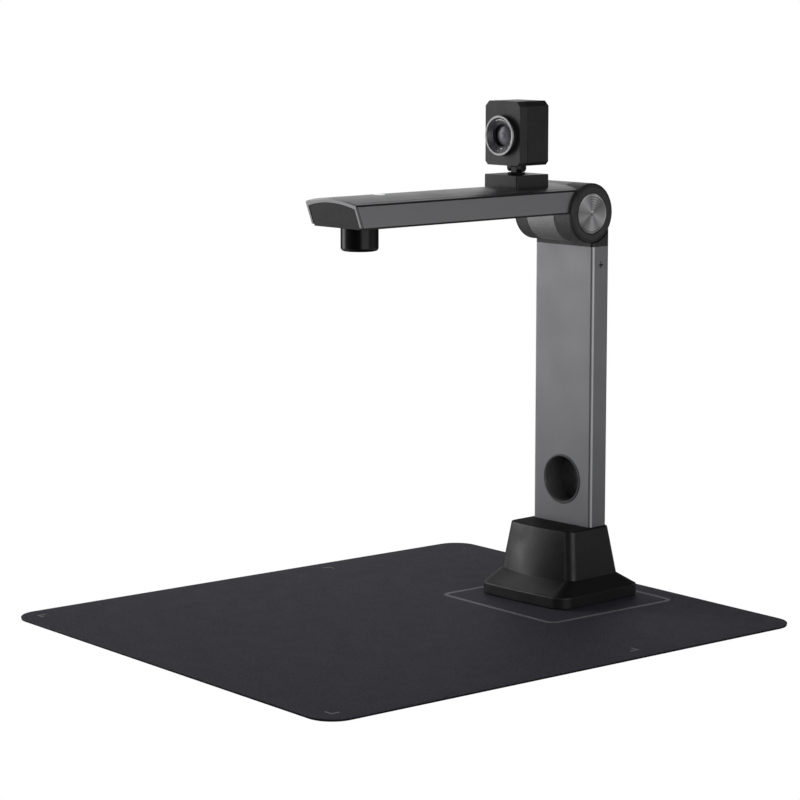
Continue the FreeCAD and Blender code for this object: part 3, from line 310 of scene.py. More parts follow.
def painted_sheen_wedges_about(finish, centre, tones):
    """Base colour in wedges round a point, in the plane across X: a painted reflection, the sheen that
    spinning leaves.
    """
    links = finish.node_tree.links
    place, mapping, turn, ramp = new_nodes(finish, "TexCoord", "Mapping", "TexGradient", "ValToRGB")
    mapping.inputs["Rotation"].default_value = (0, math.pi / 2, 0)
    mapping.inputs["Location"].default_value = (-centre.z, -centre.y, 0)
    turn.gradient_type = "RADIAL"
    for position, tone in tones[1:-1]:
        ramp.color_ramp.elements.new(position).color = (tone, tone, tone * 1.02, 1)
    for element, (position, tone) in ((0, tones[0]), (-1, tones[-1])):
        ramp.color_ramp.elements[element].position = position
        ramp.color_ramp.elements[element].color = (tone, tone, tone * 1.02, 1)
    links.new(place.outputs["Object"], mapping.inputs["Vector"])
    links.new(mapping.outputs["Vector"], turn.inputs["Vector"])
    links.new(turn.outputs["Fac"], ramp.inputs["Fac"])
    links.new(ramp.outputs["Color"], shader_of(finish).inputs["Base Color"])


# Painted reflection: each stop is a place round the disc and the tone of the sheen painted there.
DISC_PAINTED_SHEEN = [(0.0, 0.60), (0.06, 0.40), (0.13, 0.30), (0.19, 0.56), (0.27, 0.34), (0.38, 0.62), (0.48, 0.33),
            (0.56, 0.58), (0.66, 0.30), (0.76, 0.42), (0.84, 0.60), (0.92, 0.32), (1.0, 0.60)]
disc_metal_painted_sheen = turned_metal("hinge_disc_metal", (0.36, 0.36, 0.37), 0.3)
rings_about(disc_metal_painted_sheen, HINGE, 900, 0.000006)
painted_sheen_wedges_about(disc_metal_painted_sheen, HINGE, DISC_PAINTED_SHEEN)
SLEEVE_GREY = (0.30, 0.30, 0.305)
sleeve_metal = turned_metal("barrel_sleeve_metal", SLEEVE_GREY, 0.36)
vary_colour(sleeve_metal, noise(sleeve_metal, 420), shade(SLEEVE_GREY, 0.9), shade(SLEEVE_GREY, 1.08))
print("turned:", disc_metal_painted_sheen.name, "with", len(DISC_PAINTED_SHEEN), "stops round it, and", sleeve_metal.name)

# %% [markdown]
# ### Other metals
# Freshly cut aluminium shows at the nose's rim and round the small lens. Inside are steel, zinc plate, brass
# washers and a cast weight. One value of gloss all over looks like paint, so each is given a gloss or a
# colour that wanders with noise.

# %% Other metals
def uneven_metal(name, base, cells, smooth, rough, detail=3.0, metallic=1.0):
    """Metal whose roughness wanders from smooth to rough, over cells per metre."""
    finish = plain_finish(name, base, (smooth + rough) / 2, metallic)
    vary_roughness(finish, noise(finish, cells, detail=detail), smooth, rough)
    return finish


cut_metal = uneven_metal("diamond_cut_metal", (0.42, 0.42, 0.43), 900, 0.42, 0.50)
ring_metal = uneven_metal("focus_ring_metal", (0.42, 0.42, 0.43), 900, 0.42, 0.52)
cone_metal = uneven_metal("lens_cone_metal", (0.62, 0.62, 0.64), 1200, 0.45, 0.56)
black_screw = uneven_metal("black_oxide_screw", (0.022, 0.022, 0.023), 1500, 0.28, 0.46, metallic=0.7)
plain_steel = uneven_metal("plain_steel", (0.50, 0.50, 0.51), 300, 0.25, 0.45, detail=4)
emboss(plain_steel, noise(plain_steel, 1800, (1, 1, 0.1)), 0.00002, 0.4)
zinc = plain_finish("zinc_plate", (0.44, 0.45, 0.47), 0.3, metallic=1.0)
vary_colour(zinc, noise(zinc, 700, detail=4), (0.38, 0.39, 0.42), (0.50, 0.51, 0.52))
brass_sheet = plain_finish("brass_washer", (0.52, 0.37, 0.15), 0.32, metallic=1.0)
vary_colour(brass_sheet, noise(brass_sheet, 500), (0.46, 0.31, 0.12), (0.58, 0.42, 0.18))
cast_iron = plain_finish("cast_weight_iron", (0.09, 0.09, 0.092), 0.62, metallic=0.6)
emboss(cast_iron, noise(cast_iron, 700, detail=5, roughness=0.7), 0.0003, 0.8)
vary_colour(cast_iron, noise(cast_iron, 200, detail=5), (0.06, 0.06, 0.062), (0.12, 0.115, 0.11))
print("metals made:", [finish.name for finish in bpy.data.materials
                       if shader_of(finish).inputs["Metallic"].default_value > 0.5])

# %% [markdown]
# ### Plastics, rubber and boards
# Moulded black housings carry a fine spark-eroded texture, from the tool that shaped them, which spreads the
# highlights. The knuckles, end caps and cup are a dark grey and moulded smoother, and the shroud is the
# blackest and glossiest. A touch of uneven gloss, a few centimetres across, keeps a wide face from looking
# flat. Rubber, cable jackets and boards are made the same way, with a grain of their own.

# %% Plastics
def moulded(name, base, roughness, grain=1900, depth=0.00006, gloss_spread=0.07, specular=0.45):
    """Moulded plastic: grain in cells per metre and depth in metres give its texture."""
    finish = plain_finish(name, base, roughness, Specular_IOR_Level=specular)
    emboss(finish, noise(finish, grain, detail=2), depth, 0.55)
    vary_roughness(finish, noise(finish, 55, detail=2), roughness - gloss_spread, roughness + gloss_spread)
    vary_colour(finish, noise(finish, 420, detail=4), shade(base, 0.86), shade(base, 1.14))
    return finish


housing_black = moulded("housing_black", (0.020, 0.020, 0.021), 0.41)
front_black = moulded("camera_front_black", (0.036, 0.036, 0.039), 0.42, grain=2400, depth=0.00004)
shroud_black = moulded("shroud_black", (0.003, 0.003, 0.0032), 0.24, grain=3000, depth=0.00001,
                       gloss_spread=0.03, specular=0.3)
# Darker copies of the housing's black for the base's top and shoulder: painted shade.
base_top_painted_shade = moulded("base_top_painted_shade", (0.012, 0.012, 0.0125), 0.7, specular=0.1)
shoulder_painted_shade = moulded("shoulder_painted_shade", (0.008, 0.008, 0.0082), 0.4, depth=0.00002, gloss_spread=0.03)
# Near black for the lens ring's side behind its lip: painted shade.
ring_side_painted_shade = moulded("ring_satin_black", (0.016, 0.016, 0.0165), 0.36, grain=3000, depth=0.00002)
cover_black = moulded("underside_black", (0.014, 0.014, 0.0145), 0.5)
lens_black = moulded("lens_barrel_black", (0.010, 0.010, 0.011), 0.34, grain=2800, depth=0.00002)
inner_plastic = moulded("inner_plastic", (0.036, 0.036, 0.038), 0.5)
cup_black = moulded("cup_black", (0.13, 0.13, 0.132), 0.42, depth=0.00003)
knuckle_grey = moulded("knuckle_dark_grey", (0.125, 0.125, 0.127), 0.40, grain=2600, depth=0.00003)
cap_grey = moulded("end_cap_grey", (0.045, 0.045, 0.046), 0.38, grain=2600, depth=0.00002)
foot_rubber = moulded("foot_rubber", (0.013, 0.013, 0.013), 0.72, grain=1200, depth=0.0001)
cable_jacket = moulded("cable_jacket", (0.018, 0.018, 0.019), 0.55, grain=1500, depth=0.00003)
board_green = moulded("board_green", (0.012, 0.10, 0.045), 0.34, grain=900, depth=0.00004)
chip_black = moulded("chip_black", (0.016, 0.016, 0.018), 0.5)
# Near black for the arm's grooves and the screws' cross recesses: painted shade in the recesses.
recess_painted_shade = moulded("recess_painted_shade", (0.006, 0.006, 0.0065), 0.6)
print("finishes so far:", len(bpy.data.materials))

# %% [markdown]
# ### Windows, key and lamps
# The sensors are dark glass under a clear coat. The lamp's window is frosted, so a little light enters it and
# spreads, which subsurface scattering does. The touch key itself glows faintly, which paints a glint on its
# top. The lamps are chips under a yellow gel.

# %% Windows, key and lamps
sensor_glass = plain_finish("sensor_glass", (0.02, 0.02, 0.03), 0.08, Coat_Weight=0.6)
vary_colour(sensor_glass, noise(sensor_glass, 260), (0.015, 0.015, 0.022), (0.03, 0.032, 0.045))
frosted = plain_finish("frosted_window", (0.74, 0.75, 0.76), 0.38,
                       Subsurface_Weight=0.25, Subsurface_Scale=0.002)
vary_colour(frosted, noise(frosted, 900), (0.68, 0.69, 0.70), (0.80, 0.81, 0.82))
# The key's faint glow is a painted glint.
key_painted_glint = plain_finish("touch_key_painted_glint", (0.80, 0.81, 0.82), 0.35,
                        Emission_Color=(1, 1, 1, 1), Emission_Strength=0.55)
vary_colour(key_painted_glint, noise(key_painted_glint, 900), (0.74, 0.75, 0.76), (0.84, 0.85, 0.86))
led_gel = plain_finish("led_gel", (0.85, 0.78, 0.42), 0.25, Coat_Weight=0.5)
vary_colour(led_gel, noise(led_gel, 2500), (0.80, 0.70, 0.34), (0.92, 0.86, 0.50))
print("windows and lamps:", [finish.name for finish in (sensor_glass, frosted, key_painted_glint, led_gel)])

# %% [markdown]
# ### Lens glass
# From outside, a coated lens shows soft rings of a cool blue grey: reflections of the elements behind the
# front one.
# A glass shader would need that whole stack behind it, so the rings are painted into the colour of a dark
# shader
# under a clear coat: a painted reflection. Its colour follows the distance from the optical axis.

# %% Lens glass
# Painted reflection: tones of the rings, from the optical axis out to the rim.
PAINTED_REFLECTION_RINGS = [(0.0, (0.34, 0.33, 0.41)), (0.22, (0.15, 0.15, 0.20)), (0.45, (0.29, 0.28, 0.36)),
                 (0.72, (0.19, 0.185, 0.24)), (0.90, (0.22, 0.215, 0.275)), (1.0, (0.02, 0.02, 0.028))]


def coated_glass_painted_rings(name, centre, axis, radius):
    """Coated glass with painted reflections: soft blue-grey rings round its axis, black at the rim."""
    finish = plain_finish(name, (0.02, 0.022, 0.03), 0.3, Coat_Weight=0.25, Coat_Roughness=0.18,
                          Specular_IOR_Level=0.4)
    links = finish.node_tree.links
    place, mapping, length, ramp = new_nodes(finish, "TexCoord", "Mapping", "VectorMath", "ValToRGB")
    flat = [0.0 if along else 1.0 / radius for along in axis]
    mapping.inputs["Scale"].default_value = flat
    mapping.inputs["Location"].default_value = [-c * f for c, f in zip(centre, flat)]
    length.operation = "LENGTH"
    links.new(place.outputs["Object"], mapping.inputs["Vector"])
    links.new(mapping.outputs["Vector"], length.inputs[0])
    for position, colour in PAINTED_REFLECTION_RINGS[1:-1]:
        ramp.color_ramp.elements.new(position).color = (*colour, 1)
    for end in (0, -1):
        ramp.color_ramp.elements[end].color = (*PAINTED_REFLECTION_RINGS[end][1], 1)
    links.new(length.outputs["Value"], ramp.inputs["Fac"])
    links.new(ramp.outputs["Color"], shader_of(finish).inputs["Base Color"])
    return finish


def half_width(node):
    """Half of a node's size along X."""
    low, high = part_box(node)
    return (high.x - low.x) / 2


EYE = middle("eye_glass")
eye_painted_rings = coated_glass_painted_rings("face_lens_glass", EYE, (0, 1, 0), half_width("eye_glass"))
document_painted_rings = coated_glass_painted_rings("document_lens_glass", middle("lens_glass"), (0, 0, 1),
                                half_width("lens_glass"))
print("glass radii, mm:", round(half_width("eye_glass") / MM, 1), round(half_width("lens_glass") / MM, 1))

# %% [markdown]
# ### Mat
# The mat is a thin artificial leather over dark foam. Its skin has a pebbled grain about a millimetre across:
# rounded cells with fine creases between them. Voronoi cells give the pebbles, and noise breaks them up. The
# charcoal has a faint violet cast and varies a little from patch to patch.

# %% Mat finishes
def pebbled(name, base, roughness):
    """Artificial leather with pebbles about a millimetre across."""
    finish = plain_finish(name, base, roughness, Specular_IOR_Level=0.12)
    links = finish.node_tree.links
    place, cells = new_nodes(finish, "TexCoord", "TexVoronoi")
    cells.feature = "SMOOTH_F1"
    cells.inputs["Scale"].default_value = 900
    cells.inputs["Smoothness"].default_value = 0.35
    links.new(place.outputs["Object"], cells.inputs["Vector"])
    emboss(finish, cells.outputs["Distance"], -0.00022, 0.6)
    emboss(finish, noise(finish, 520, detail=4), 0.0002, 0.35)
    vary_colour(finish, noise(finish, 460, detail=5, roughness=0.7), shade(base, 0.78), shade(base, 1.24),
                0.36, 0.64)
    vary_roughness(finish, noise(finish, 60, detail=3), roughness - 0.04, roughness + 0.04)
    return finish


mat_leather = pebbled("mat_leather", (0.088, 0.083, 0.107), 0.7)
mat_foam = moulded("mat_foam_black", (0.009, 0.009, 0.0095), 0.8, grain=1500, depth=0.00012)
print_grey = moulded("printed_line_grey", (0.25, 0.25, 0.27), 0.6, grain=1600, depth=0.00002)
print("mat finishes:", [finish.name for finish in (mat_leather, mat_foam, print_grey)])

# %% [markdown]
# ## Modelling helpers
# The steps below are those of work by hand. Everything is deselected, a primitive is added at its place, and
# edit mode shapes it. Faces and edges are picked by where they lie. A finished piece keeps its place in its
# mesh, with its object at the origin.

# %% Helpers
def deselect():
    """Leaves edit mode and clears the selection."""
    if bpy.context.mode != "OBJECT":
        bpy.ops.object.mode_set(mode="OBJECT")
    bpy.ops.object.select_all(action="DESELECT")


def settle(name):
    """Names the active object and puts its place into its mesh."""
    piece = bpy.context.active_object
    piece.name = piece.data.name = name
    bpy.ops.object.transform_apply(location=True, rotation=True, scale=True)
    return piece


def edit(kind):
    """Opens edit mode on the active object, to select by kind."""
    bpy.ops.object.mode_set(mode="EDIT")
    bpy.ops.mesh.select_mode(type=kind)


def pick(piece, kind, wanted):
    """Selects the faces or edges whose centre wanted() accepts, and opens edit mode on them."""
    deselect()
    bpy.context.view_layer.objects.active = piece
    piece.select_set(True)
    edit(kind)
    bpy.ops.mesh.select_all(action="DESELECT")
    bpy.ops.object.mode_set(mode="OBJECT")
    mesh = piece.data
    for part in mesh.edges if kind == "EDGE" else mesh.polygons:
        centre = sum((mesh.vertices[i].co for i in part.vertices), Vector()) / len(part.vertices)
        part.select = bool(wanted(centre, part))
    edit(kind)


def close(piece, body, finish, smooth=35, node=None):
    """Leaves edit mode, smooths the shading, and gives the piece its finish and its body."""
    deselect()
    bpy.context.view_layer.objects.active = piece
    piece.select_set(True)
    bpy.ops.object.shade_smooth_by_angle(angle=math.radians(smooth))
    piece.data.materials.clear()
    piece.data.materials.append(finish)
    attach(piece, body)
    if node:
        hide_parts(node)
    size = [round(length / MM, 1) for length in piece.dimensions]
    print(f"{piece.name}: {len(piece.data.polygons)} faces, {size} mm")


def rounded_sheet(name, low, high, corner, thick):
    """A plate from low to high in plan, with rounded corners; a thick of 0 leaves it a plane."""
    deselect()
    centre = (low + high) / 2
    bpy.ops.mesh.primitive_plane_add(size=1, location=(centre.x, centre.y, low.z))
    bpy.context.active_object.scale = (high.x - low.x, high.y - low.y, 1)
    piece = settle(name)
    edit("VERT")
    bpy.ops.mesh.select_all(action="SELECT")
    bpy.ops.mesh.bevel(offset=corner, segments=14, affect="VERTICES")
    if thick:
        bpy.ops.mesh.select_all(action="SELECT")
        bpy.ops.mesh.extrude_region_move(TRANSFORM_OT_translate={"value": (0, 0, thick)})
        bpy.ops.mesh.select_all(action="SELECT")
        bpy.ops.mesh.normals_make_consistent(inside=False)
    bpy.ops.object.mode_set(mode="OBJECT")
    return piece


# %% [markdown]
# ## Floor
# A plain white sweep, wide enough to reach past every view. Two pools of light lie on it, at the left front
# and at the right rear. The upright faces of the stand mirror the floor there, so the pools give the metal
# its even grey, without any light from above on the black tops.

# %% Floor
def glow_pools(finish, pools):
    """Emission in round pools, each (strength, centre, radius) and fading to its edge."""
    links = finish.node_tree.links
    shader_of(finish).inputs["Emission Color"].default_value = (1, 1, 1, 1)
    place = new_nodes(finish, "TexCoord")[0]
    total = None
    for strength, centre, radius in pools:
        mapping, ball, glow = new_nodes(finish, "Mapping", "TexGradient", "Math")
        mapping.inputs["Scale"].default_value = (1 / radius, 1 / radius, 0)
        mapping.inputs["Location"].default_value = (-centre[0] / radius, -centre[1] / radius, 0)
        ball.gradient_type = "SPHERICAL"
        glow.operation = "MULTIPLY_ADD"
        glow.inputs[1].default_value = strength
        glow.inputs[2].default_value = 0
        links.new(place.outputs["Object"], mapping.inputs["Vector"])
        links.new(mapping.outputs["Vector"], ball.inputs["Vector"])
        links.new(ball.outputs["Fac"], glow.inputs[0])
        if total:
            links.new(total, glow.inputs[2])
        total = glow.outputs[0]
    links.new(total, shader_of(finish).inputs["Emission Strength"])


def sweep_paint(name, felt, pools):
    """White to the eye; to the object it is a paper of albedo felt with pools of light on it."""
    finish = plain_finish(name, (felt, felt, felt), 0.9, Specular_IOR_Level=0.1)
    glow_pools(finish, pools)
    links = finish.node_tree.links
    path, white, mix = new_nodes(finish, "LightPath", "Emission", "MixShader")
    white.inputs["Strength"].default_value = 1.0
    links.new(path.outputs["Is Camera Ray"], mix.inputs["Fac"])
    links.new(shader_of(finish).outputs[0], mix.inputs[1])
    links.new(white.outputs[0], mix.inputs[2])
    links.new(mix.outputs[0], finish.node_tree.nodes["Material Output"].inputs["Surface"])
    return finish


deselect()
bpy.ops.mesh.primitive_circle_add(vertices=96, radius=160, fill_type="NGON", location=(0, 0, -0.0002))
floor = settle("floor")
LEFT_POOL, RIGHT_POOL = (1.2, (-1.0, -0.85), 1.3), (1.3, (1.2, 1.05), 1.3)
floor.data.materials.append(sweep_paint("sweep_white", 0.4, [LEFT_POOL, RIGHT_POOL]))
print("floor", round(floor.dimensions.x), "m across")

# %% [markdown]
# ## Mat
# The mat is two layers: artificial leather, and a foam underlay a hair smaller, which shows as the thin dark
# line at its edge. Each is a plane with bevelled corners, extruded to its thickness. The leather's upper rim
# is rolled over with a second bevel, because cut leather curls down a little at its edge.

# %% Mat
MAT_WIDTH, MAT_LENGTH, MAT_CORNER = 393 * MM, 444 * MM, 20 * MM
MAT_TURN = Matrix.Rotation(math.radians(-3.5), 4, "Z")
FOAM_INSET = 0.25 * MM
LEATHER_ROLL, FOAM_ROLL = 0.4 * MM, 0.3 * MM


def mat_sheet(name, bottom, top, inset):
    """A layer of the mat, square to the axes for now: its rim is rounded before it is turned."""
    half = Vector((MAT_WIDTH / 2 - inset, MAT_LENGTH / 2 - inset, 0))
    centre = Vector((0, 0, bottom))
    return rounded_sheet(name, centre - half, centre + half, MAT_CORNER - inset, top - bottom)


def roll_rim(sheet, height, width, segments):
    """Rounds the rim of a layer at one height, then turns the layer to where it lies."""
    reach = Vector((MAT_WIDTH / 2 - MAT_CORNER, MAT_LENGTH / 2 - MAT_CORNER))
    pick(sheet, "EDGE", lambda c, e: abs(c.z - height) < 0.1 * MM
         and (abs(c.x) > reach.x or abs(c.y) > reach.y))
    bpy.ops.mesh.bevel(offset=width, segments=segments, affect="EDGES")
    deselect()
    sheet.data.transform(MAT_TURN)


mat_top = mat_sheet("mat_leather_top", MAT_LOW.z, MAT_TOP, 0)
roll_rim(mat_top, MAT_TOP, LEATHER_ROLL, 4)
close(mat_top, "stand", mat_leather, node="mat_skin")

foam = mat_sheet("mat_foam_layer", FOAM_LOW.z, FOAM_HIGH.z, FOAM_INSET)
roll_rim(foam, FOAM_LOW.z, FOAM_ROLL, 2)
close(foam, "stand", mat_foam, node="mat_foam")

# %% [markdown]
# ## Printed lines
# A line is printed round the place where the base stands. Four small corner brackets mark where a large page
# goes, between the reader's edge and the stand. A print is only ink, so each line is modelled as a film a few
# hundredths of a millimetre thick: a rounded plane, inset by the line's width, its middle deleted. A Solidify
# modifier gives it its thickness, which keeps the faces in the same order on every run.

# %% Printed lines
INK = 0.04 * MM
LINE, BRACKET_LINE, BRACKET_ARM = 3.8 * MM, 1.8 * MM, 6 * MM


def ink_film(shape):
    """Gives a flat shape the thickness of ink, upwards."""
    deselect()
    bpy.context.view_layer.objects.active = shape
    shape.select_set(True)
    film = shape.modifiers.new("film", "SOLIDIFY")
    film.thickness = INK
    film.offset = 1
    bpy.ops.object.modifier_apply(modifier=film.name)


def printed_outline(name, low_x, low_y, high_x, high_y, corner):
    """A line round a rounded rectangle, given by its outer edge."""
    low, high = Vector((low_x, low_y, MAT_TOP)), Vector((high_x, high_y, MAT_TOP))
    outline = rounded_sheet(name, low, high, corner, 0)
    edit("FACE")
    bpy.ops.mesh.select_all(action="SELECT")
    bpy.ops.mesh.inset(thickness=LINE)
    bpy.ops.mesh.delete(type="FACE")
    ink_film(outline)
    return outline


BASE_Y = (BASE_LOW.y + BASE_HIGH.y) / 2
BASE_ON_MAT = MAT_TURN.inverted() @ Vector((STAND_X, BASE_Y, 0))
TO_LEFT, TO_FRONT, TO_RIGHT, TO_BACK = 57 * MM, 75 * MM, 74 * MM, 54 * MM      # from the base's middle
outline = printed_outline("base_place_outline", BASE_ON_MAT.x - TO_LEFT, BASE_ON_MAT.y - TO_FRONT,
                          BASE_ON_MAT.x + TO_RIGHT, BASE_ON_MAT.y + TO_BACK, 9 * MM)
deselect()
outline.data.transform(MAT_TURN)
close(outline, "stand", print_grey)


def corner_bracket(name, x, y, turn):
    """An L of two strokes, its corner at x, y, turned by quarter turns."""
    deselect()
    bpy.ops.mesh.primitive_plane_add(size=1, location=(0, 0, 0))
    bpy.context.active_object.scale = (BRACKET_LINE, BRACKET_LINE, 1)
    bracket = settle(name)
    for along in (Vector((BRACKET_ARM, 0, 0)), Vector((0, BRACKET_ARM, 0))):
        pick(bracket, "EDGE", lambda c, e: abs(c.dot(along.normalized()) - BRACKET_LINE / 2) < 0.001 * MM
             and c.length < BRACKET_LINE)
        bpy.ops.mesh.extrude_region_move(TRANSFORM_OT_translate={"value": along})
    bpy.ops.mesh.select_all(action="SELECT")
    bpy.ops.mesh.normals_make_consistent(inside=False)
    ink_film(bracket)
    place = Matrix.Translation((x, y, MAT_TOP)) @ Matrix.Rotation(turn * math.pi / 2, 4, "Z")
    bracket.data.transform(MAT_TURN @ place)
    close(bracket, "stand", print_grey)


MARGIN = 15 * MM
side, front, back = MAT_WIDTH / 2 - MARGIN, MARGIN - MAT_LENGTH / 2, 70 * MM
for count, (x, y) in enumerate([(-side, front), (side, front), (side, back), (-side, back)]):
    corner_bracket(f"corner_bracket_{count + 1}", x, y, count)

# %% [markdown]
# ## Broken edges
# No moulded or machined edge is knife sharp: the small round along it catches the light and draws the shape.
# The model's housings have the right shape but bare edges. So each is copied, its loose triangles are merged
# and its flat faces dissolved back into one, and a Bevel modifier rounds every edge sharper than a limit. The
# modifier is applied, and the copy stands in for the plain node. Where one piece has two finishes, the faces
# of the second are chosen by their place and normal.

# %% Broken edges
def broken_edges(node, body, finish, width, limit=32, segments=2, smooth=28):
    """A copy of a node with its sharp edges rounded by width; limit and smooth are angles in degrees."""
    deselect()
    piece = bpy.data.objects.new(node + "_finished", frame["nodes"][node].data.copy())
    bpy.context.scene.collection.objects.link(piece)
    bpy.context.view_layer.objects.active = piece
    piece.select_set(True)
    edit("VERT")
    bpy.ops.mesh.select_all(action="SELECT")
    bpy.ops.mesh.remove_doubles(threshold=0.000002)
    bpy.ops.mesh.dissolve_limited(angle_limit=math.radians(0.6))
    bpy.ops.object.mode_set(mode="OBJECT")
    rounding = piece.modifiers.new("rounding", "BEVEL")
    rounding.width = width
    rounding.segments = segments
    rounding.limit_method = "ANGLE"
    rounding.angle_limit = math.radians(limit)
    bpy.ops.object.modifier_apply(modifier=rounding.name)
    close(piece, body, finish, smooth, node)
    even = piece.modifiers.new("even_shading", "WEIGHTED_NORMAL")
    even.keep_sharp = True
    even.weight = 100
    bpy.ops.object.modifier_apply(modifier=even.name)
    return piece


def second_finish(piece, finish, wanted):
    """Gives another finish to the faces that wanted(centre, normal) accepts."""
    piece.data.materials.append(finish)
    chosen = [face for face in piece.data.polygons if wanted(face.center, face.normal)]
    for face in chosen:
        face.material_index = len(piece.data.materials) - 1
    print(f"{piece.name}: {len(chosen)} faces in {finish.name}")


# %% [markdown]
# ## Base
# The base is one moulded housing: a plinth, a sloping shoulder, tapered walls and a flat top. Its faces meet
# at shallow angles, so the limit is lower than elsewhere, or the shoulder would melt into the walls. The top
# and the shoulder take darker copies of the walls' finish, so they look blacker: painted shade.

# %% Base
BASE_TOP, SHOULDER_LOW, SHOULDER_HIGH = BASE_HIGH.z, MAT_TOP + 9.6 * MM, MAT_TOP + 19.8 * MM
base = broken_edges("base_shell", "stand", housing_black, 0.55 * MM,
                    limit=18, segments=3, smooth=15)
# Painted shade: the top and the shoulder get the darker finishes.
second_finish(base, base_top_painted_shade, lambda c, n: c.z > BASE_TOP - 0.5 * MM and n.z > 0.8)
second_finish(base, shoulder_painted_shade, lambda c, n: SHOULDER_LOW < c.z < SHOULDER_HIGH and n.z > 0.3)

# %% [markdown]
# ## Column
# The column is a flat extrusion with a dark cup set into it, which takes the lens shroud when the arm is
# folded. Its rounded front corners get a lighter copy of its finish: a painted highlight.

# %% Column
column = broken_edges("column", "stand", column_grey, 0.25 * MM)
second_finish(column, column_corner_painted_highlight,
              lambda c, n: abs(n.x) > 0.5 and -0.9 < n.y < -0.12 and abs(n.z) < 0.1)
broken_edges("parking_cup", "stand", cup_black, 0.15 * MM)

# %% [markdown]
# ## Hinge barrel
# A dark block on the column holds the bright sleeve in the middle of the barrel. The knuckles on either side
# turn with the arm, and a cap closes each end. Two of each are alike, so one loop does both sides.

# %% Hinge barrel
broken_edges("hinge_head", "stand", housing_black, 0.4 * MM)
broken_edges("barrel_sleeve", "stand", sleeve_metal, 0.3 * MM)
for side in ("right", "left"):
    broken_edges(f"knuckle_{side}", "arm", knuckle_grey, 0.35 * MM)
    broken_edges(f"end_cap_{side}", "arm", cap_grey, 0.3 * MM)

# %% [markdown]
# ## Arm
# The arm is an extrusion cut off at a slant. The last cut leaves a narrow bright rim round its nose, and a
# shallow groove runs along each side, made near black so that it reads as a line: painted shade in the
# groove. Both are faces of the arm with another finish. A dark cap fills the nose, and a cover and the lens
# shroud close the arm from below.

# %% Arm
arm = broken_edges("arm_shell", "arm", arm_grey, 0.2 * MM)
arm_low, arm_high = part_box("arm_shell")
GROOVE_LOW, GROOVE_HIGH, GROOVE_DEPTH = HINGE.z + 17.0 * MM, HINGE.z + 18.4 * MM, 0.9 * MM
NOSE_LEAN, NOSE_RIM = 6.5 / 21.7, 1.5 * MM          # the nose leans back by this much per height
SKIN, SLACK = 0.12 * MM, 0.1 * MM                   # the least depth of a groove, and a margin in place


def in_groove(centre, normal):
    """The floor and flanks of the groove in either side of the arm."""
    depth = min(centre.x - arm_low.x, arm_high.x - centre.x)
    return GROOVE_LOW - SLACK < centre.z < GROOVE_HIGH + SLACK and SKIN < depth < GROOVE_DEPTH + SLACK


def on_nose_rim(centre, normal):
    """The cut rim round the arm's nose: the chamfer and the narrow frame in front."""
    behind = centre.y - arm_low.y - NOSE_LEAN * (arm_high.z - centre.z)
    return behind < NOSE_RIM and normal.y < -0.25


# Painted shade in the groove.
second_finish(arm, recess_painted_shade, in_groove)
second_finish(arm, cut_metal, on_nose_rim)
broken_edges("arm_front_cap", "arm", front_black, 0.2 * MM)
broken_edges("arm_bottom_cover", "arm", cover_black, 0.25 * MM)
broken_edges("lens_shroud", "arm", shroud_black, 0.15 * MM)

# %% [markdown]
# ## Small camera
# The second camera is a chamfered box in two halves, on a post that turns in a block on the arm. Each rides
# on its own body, so it follows its joint: the block stays on the arm, the post swivels, and the box tilts
# as well.

# %% Small camera
broken_edges("swivel_foot", "arm", housing_black, 0.35 * MM)
broken_edges("swivel_post", "swivel", lens_black, 0.15 * MM)
broken_edges("head_front", "face_camera", front_black, 0.3 * MM)
broken_edges("head_rear", "face_camera", housing_black, 0.3 * MM)

# %% [markdown]
# ## Side screws
# A countersunk screw sits flush in each narrow side of the column, dyed to match it, so only its cross recess
# shows, as a small dark plus. The head takes the column's finish and the recess a near-black one: painted
# shade.

# %% Side screws
column_low, column_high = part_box("column")
side_screws = broken_edges("column_side_screws", "stand", column_grey, 0.08 * MM)
second_finish(side_screws, recess_painted_shade, lambda c, n: min(c.x - column_low.x, column_high.x - c.x) > SKIN)

# %% [markdown]
# ## Lens ring and cone of the small camera
# The ring round the lens is turned from aluminium, and a last bright cut is taken off its front lip. Behind
# the
# lip the ring is near black: painted shade on its side. The cone inside it is turned too, in steps, so that
# light from the side scatters before it reaches the glass. Both are copies of their nodes with a second
# finish: on the ring the faces behind the lip, on the cone its cut faces.

# %% Lens ring
ring_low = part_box("focus_ring")[0]
lens_ring = broken_edges("focus_ring", "face_camera", ring_metal, 0.1 * MM)
LIP, CONE_DEPTH, CONE_RADIUS = 0.62 * MM, 3.6 * MM, 9.5 * MM
second_finish(lens_ring, ring_side_painted_shade, lambda c, n: c.y > ring_low.y + LIP and n.y > -0.5)
lens_cone = broken_edges("eye_barrel", "face_camera", lens_black, 0.05 * MM)
second_finish(lens_cone, cone_metal, lambda c, n: c.y < ring_low.y + CONE_DEPTH
              and math.hypot(c.x - EYE.x, c.z - EYE.z) > CONE_RADIUS)

# %% [markdown]
# ## Hinge discs
# A disc of spun aluminium closes each end of the barrel. Its rim is stepped, its face has a few turned rings,
# and its middle a small dimple. It could be bump alone, but the rings would vanish from the mesh. So the disc
# is a cylinder whose face is inset again and again: a wide land, then a narrow cut down, then one back up.

# %% Hinge discs
DISC_RINGS, RING_LAND, RING_CUT, RING_DEPTH = 7, 1.65 * MM, 0.12 * MM, 0.02 * MM
RIM_LAND, RIM_STEP, RIM_DROP, RIM_ROUND = 0.3 * MM, 0.2 * MM, 0.12 * MM, 0.2 * MM
DIMPLE_EDGE, DIMPLE_DROP = 0.8 * MM, 0.2 * MM
NEAR = 0.01 * MM


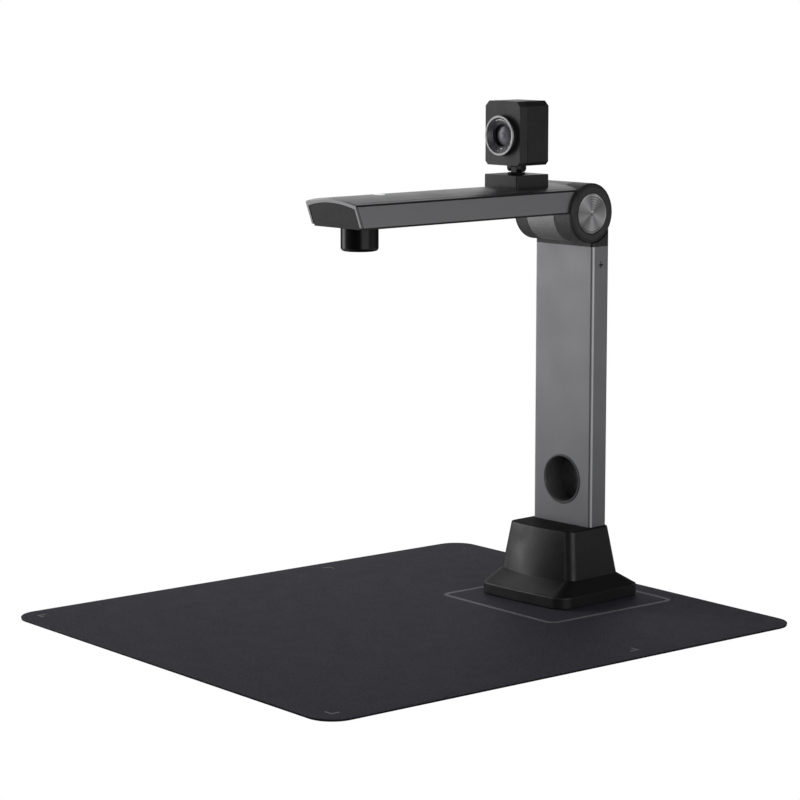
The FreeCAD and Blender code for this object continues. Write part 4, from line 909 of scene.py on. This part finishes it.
def hinge_disc(side):
    """The disc in one end of the barrel; side is right or left."""
    low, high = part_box(f"cap_disc_{side}")
    centre, sign = (low + high) / 2, 1 if side == "right" else -1
    deselect()
    bpy.ops.mesh.primitive_cylinder_add(vertices=128, radius=(high.y - low.y) / 2, depth=high.x - low.x,
                                        location=centre, rotation=(0, math.pi / 2, 0))
    disc = settle(f"hinge_disc_{side}")
    face_x = centre.x + sign * (high.x - low.x) / 2
    pick(disc, "FACE", lambda c, f: abs(c.x - face_x) < NEAR)
    bpy.ops.mesh.inset(thickness=RIM_LAND)
    bpy.ops.mesh.inset(thickness=RIM_STEP, depth=-RIM_DROP)
    for ring in range(DISC_RINGS):
        bpy.ops.mesh.inset(thickness=RING_LAND)
        bpy.ops.mesh.inset(thickness=RING_CUT, depth=-RING_DEPTH)
        bpy.ops.mesh.inset(thickness=RING_CUT, depth=RING_DEPTH)
    bpy.ops.mesh.inset(thickness=DIMPLE_EDGE, depth=-DIMPLE_DROP)
    pick(disc, "EDGE", lambda c, e: math.hypot(c.y - centre.y, c.z - centre.z) > (high.y - low.y) / 2 - NEAR
         and abs(c.x - face_x) < NEAR)
    bpy.ops.mesh.bevel(offset=RIM_ROUND, segments=3, affect="EDGES")
    close(disc, "arm", disc_metal_painted_sheen, smooth=20, node=f"cap_disc_{side}")


for side in ("right", "left"):
    hinge_disc(side)

# %% [markdown]
# ## Finishes for the nodes that stay
# Screws, boards, shafts and lens parts already have their true shape, so they keep their own meshes and only
# get better finishes.

# %% Finishes for nodes
KEPT = {
    inner_plastic: ["base_cover", "lens_mount"],
    zinc: ["base_screws", "column_foot_screws", "shaft_nuts", "bracket_screws", "foot_screws"],
    foot_rubber: ["rubber_feet"],
    cast_iron: ["ballast"],
    board_green: ["usb_board", "touch_board", "lamp_board", "camera_board", "eye_board"],
    chip_black: ["usb_chips"],
    plain_steel: ["usb_socket", "column_foot", "hinge_shaft", "spring_washers", "hinge_bracket_right",
                  "hinge_bracket_left", "swivel_clip"],
    black_screw: ["cover_screws", "head_screws"],
    cable_jacket: ["column_harness", "arm_harness"],
    brass_sheet: ["friction_washers"],
    frosted: ["lamp_window"],
    key_painted_glint: ["touch_key"],
    led_gel: ["lamp_leds"],
    lens_black: ["lens_barrel", "tilt_pin"],
    document_painted_rings: ["lens_glass"],
    eye_painted_rings: ["eye_glass"],
    sensor_glass: ["image_sensor", "eye_sensor"],
}
for finish, names in KEPT.items():
    for name in names:
        node = frame["nodes"][name]
        for slot in node.material_slots:
            slot.material = finish
print("finished nodes:", sum(len(names) for names in KEPT.values()))
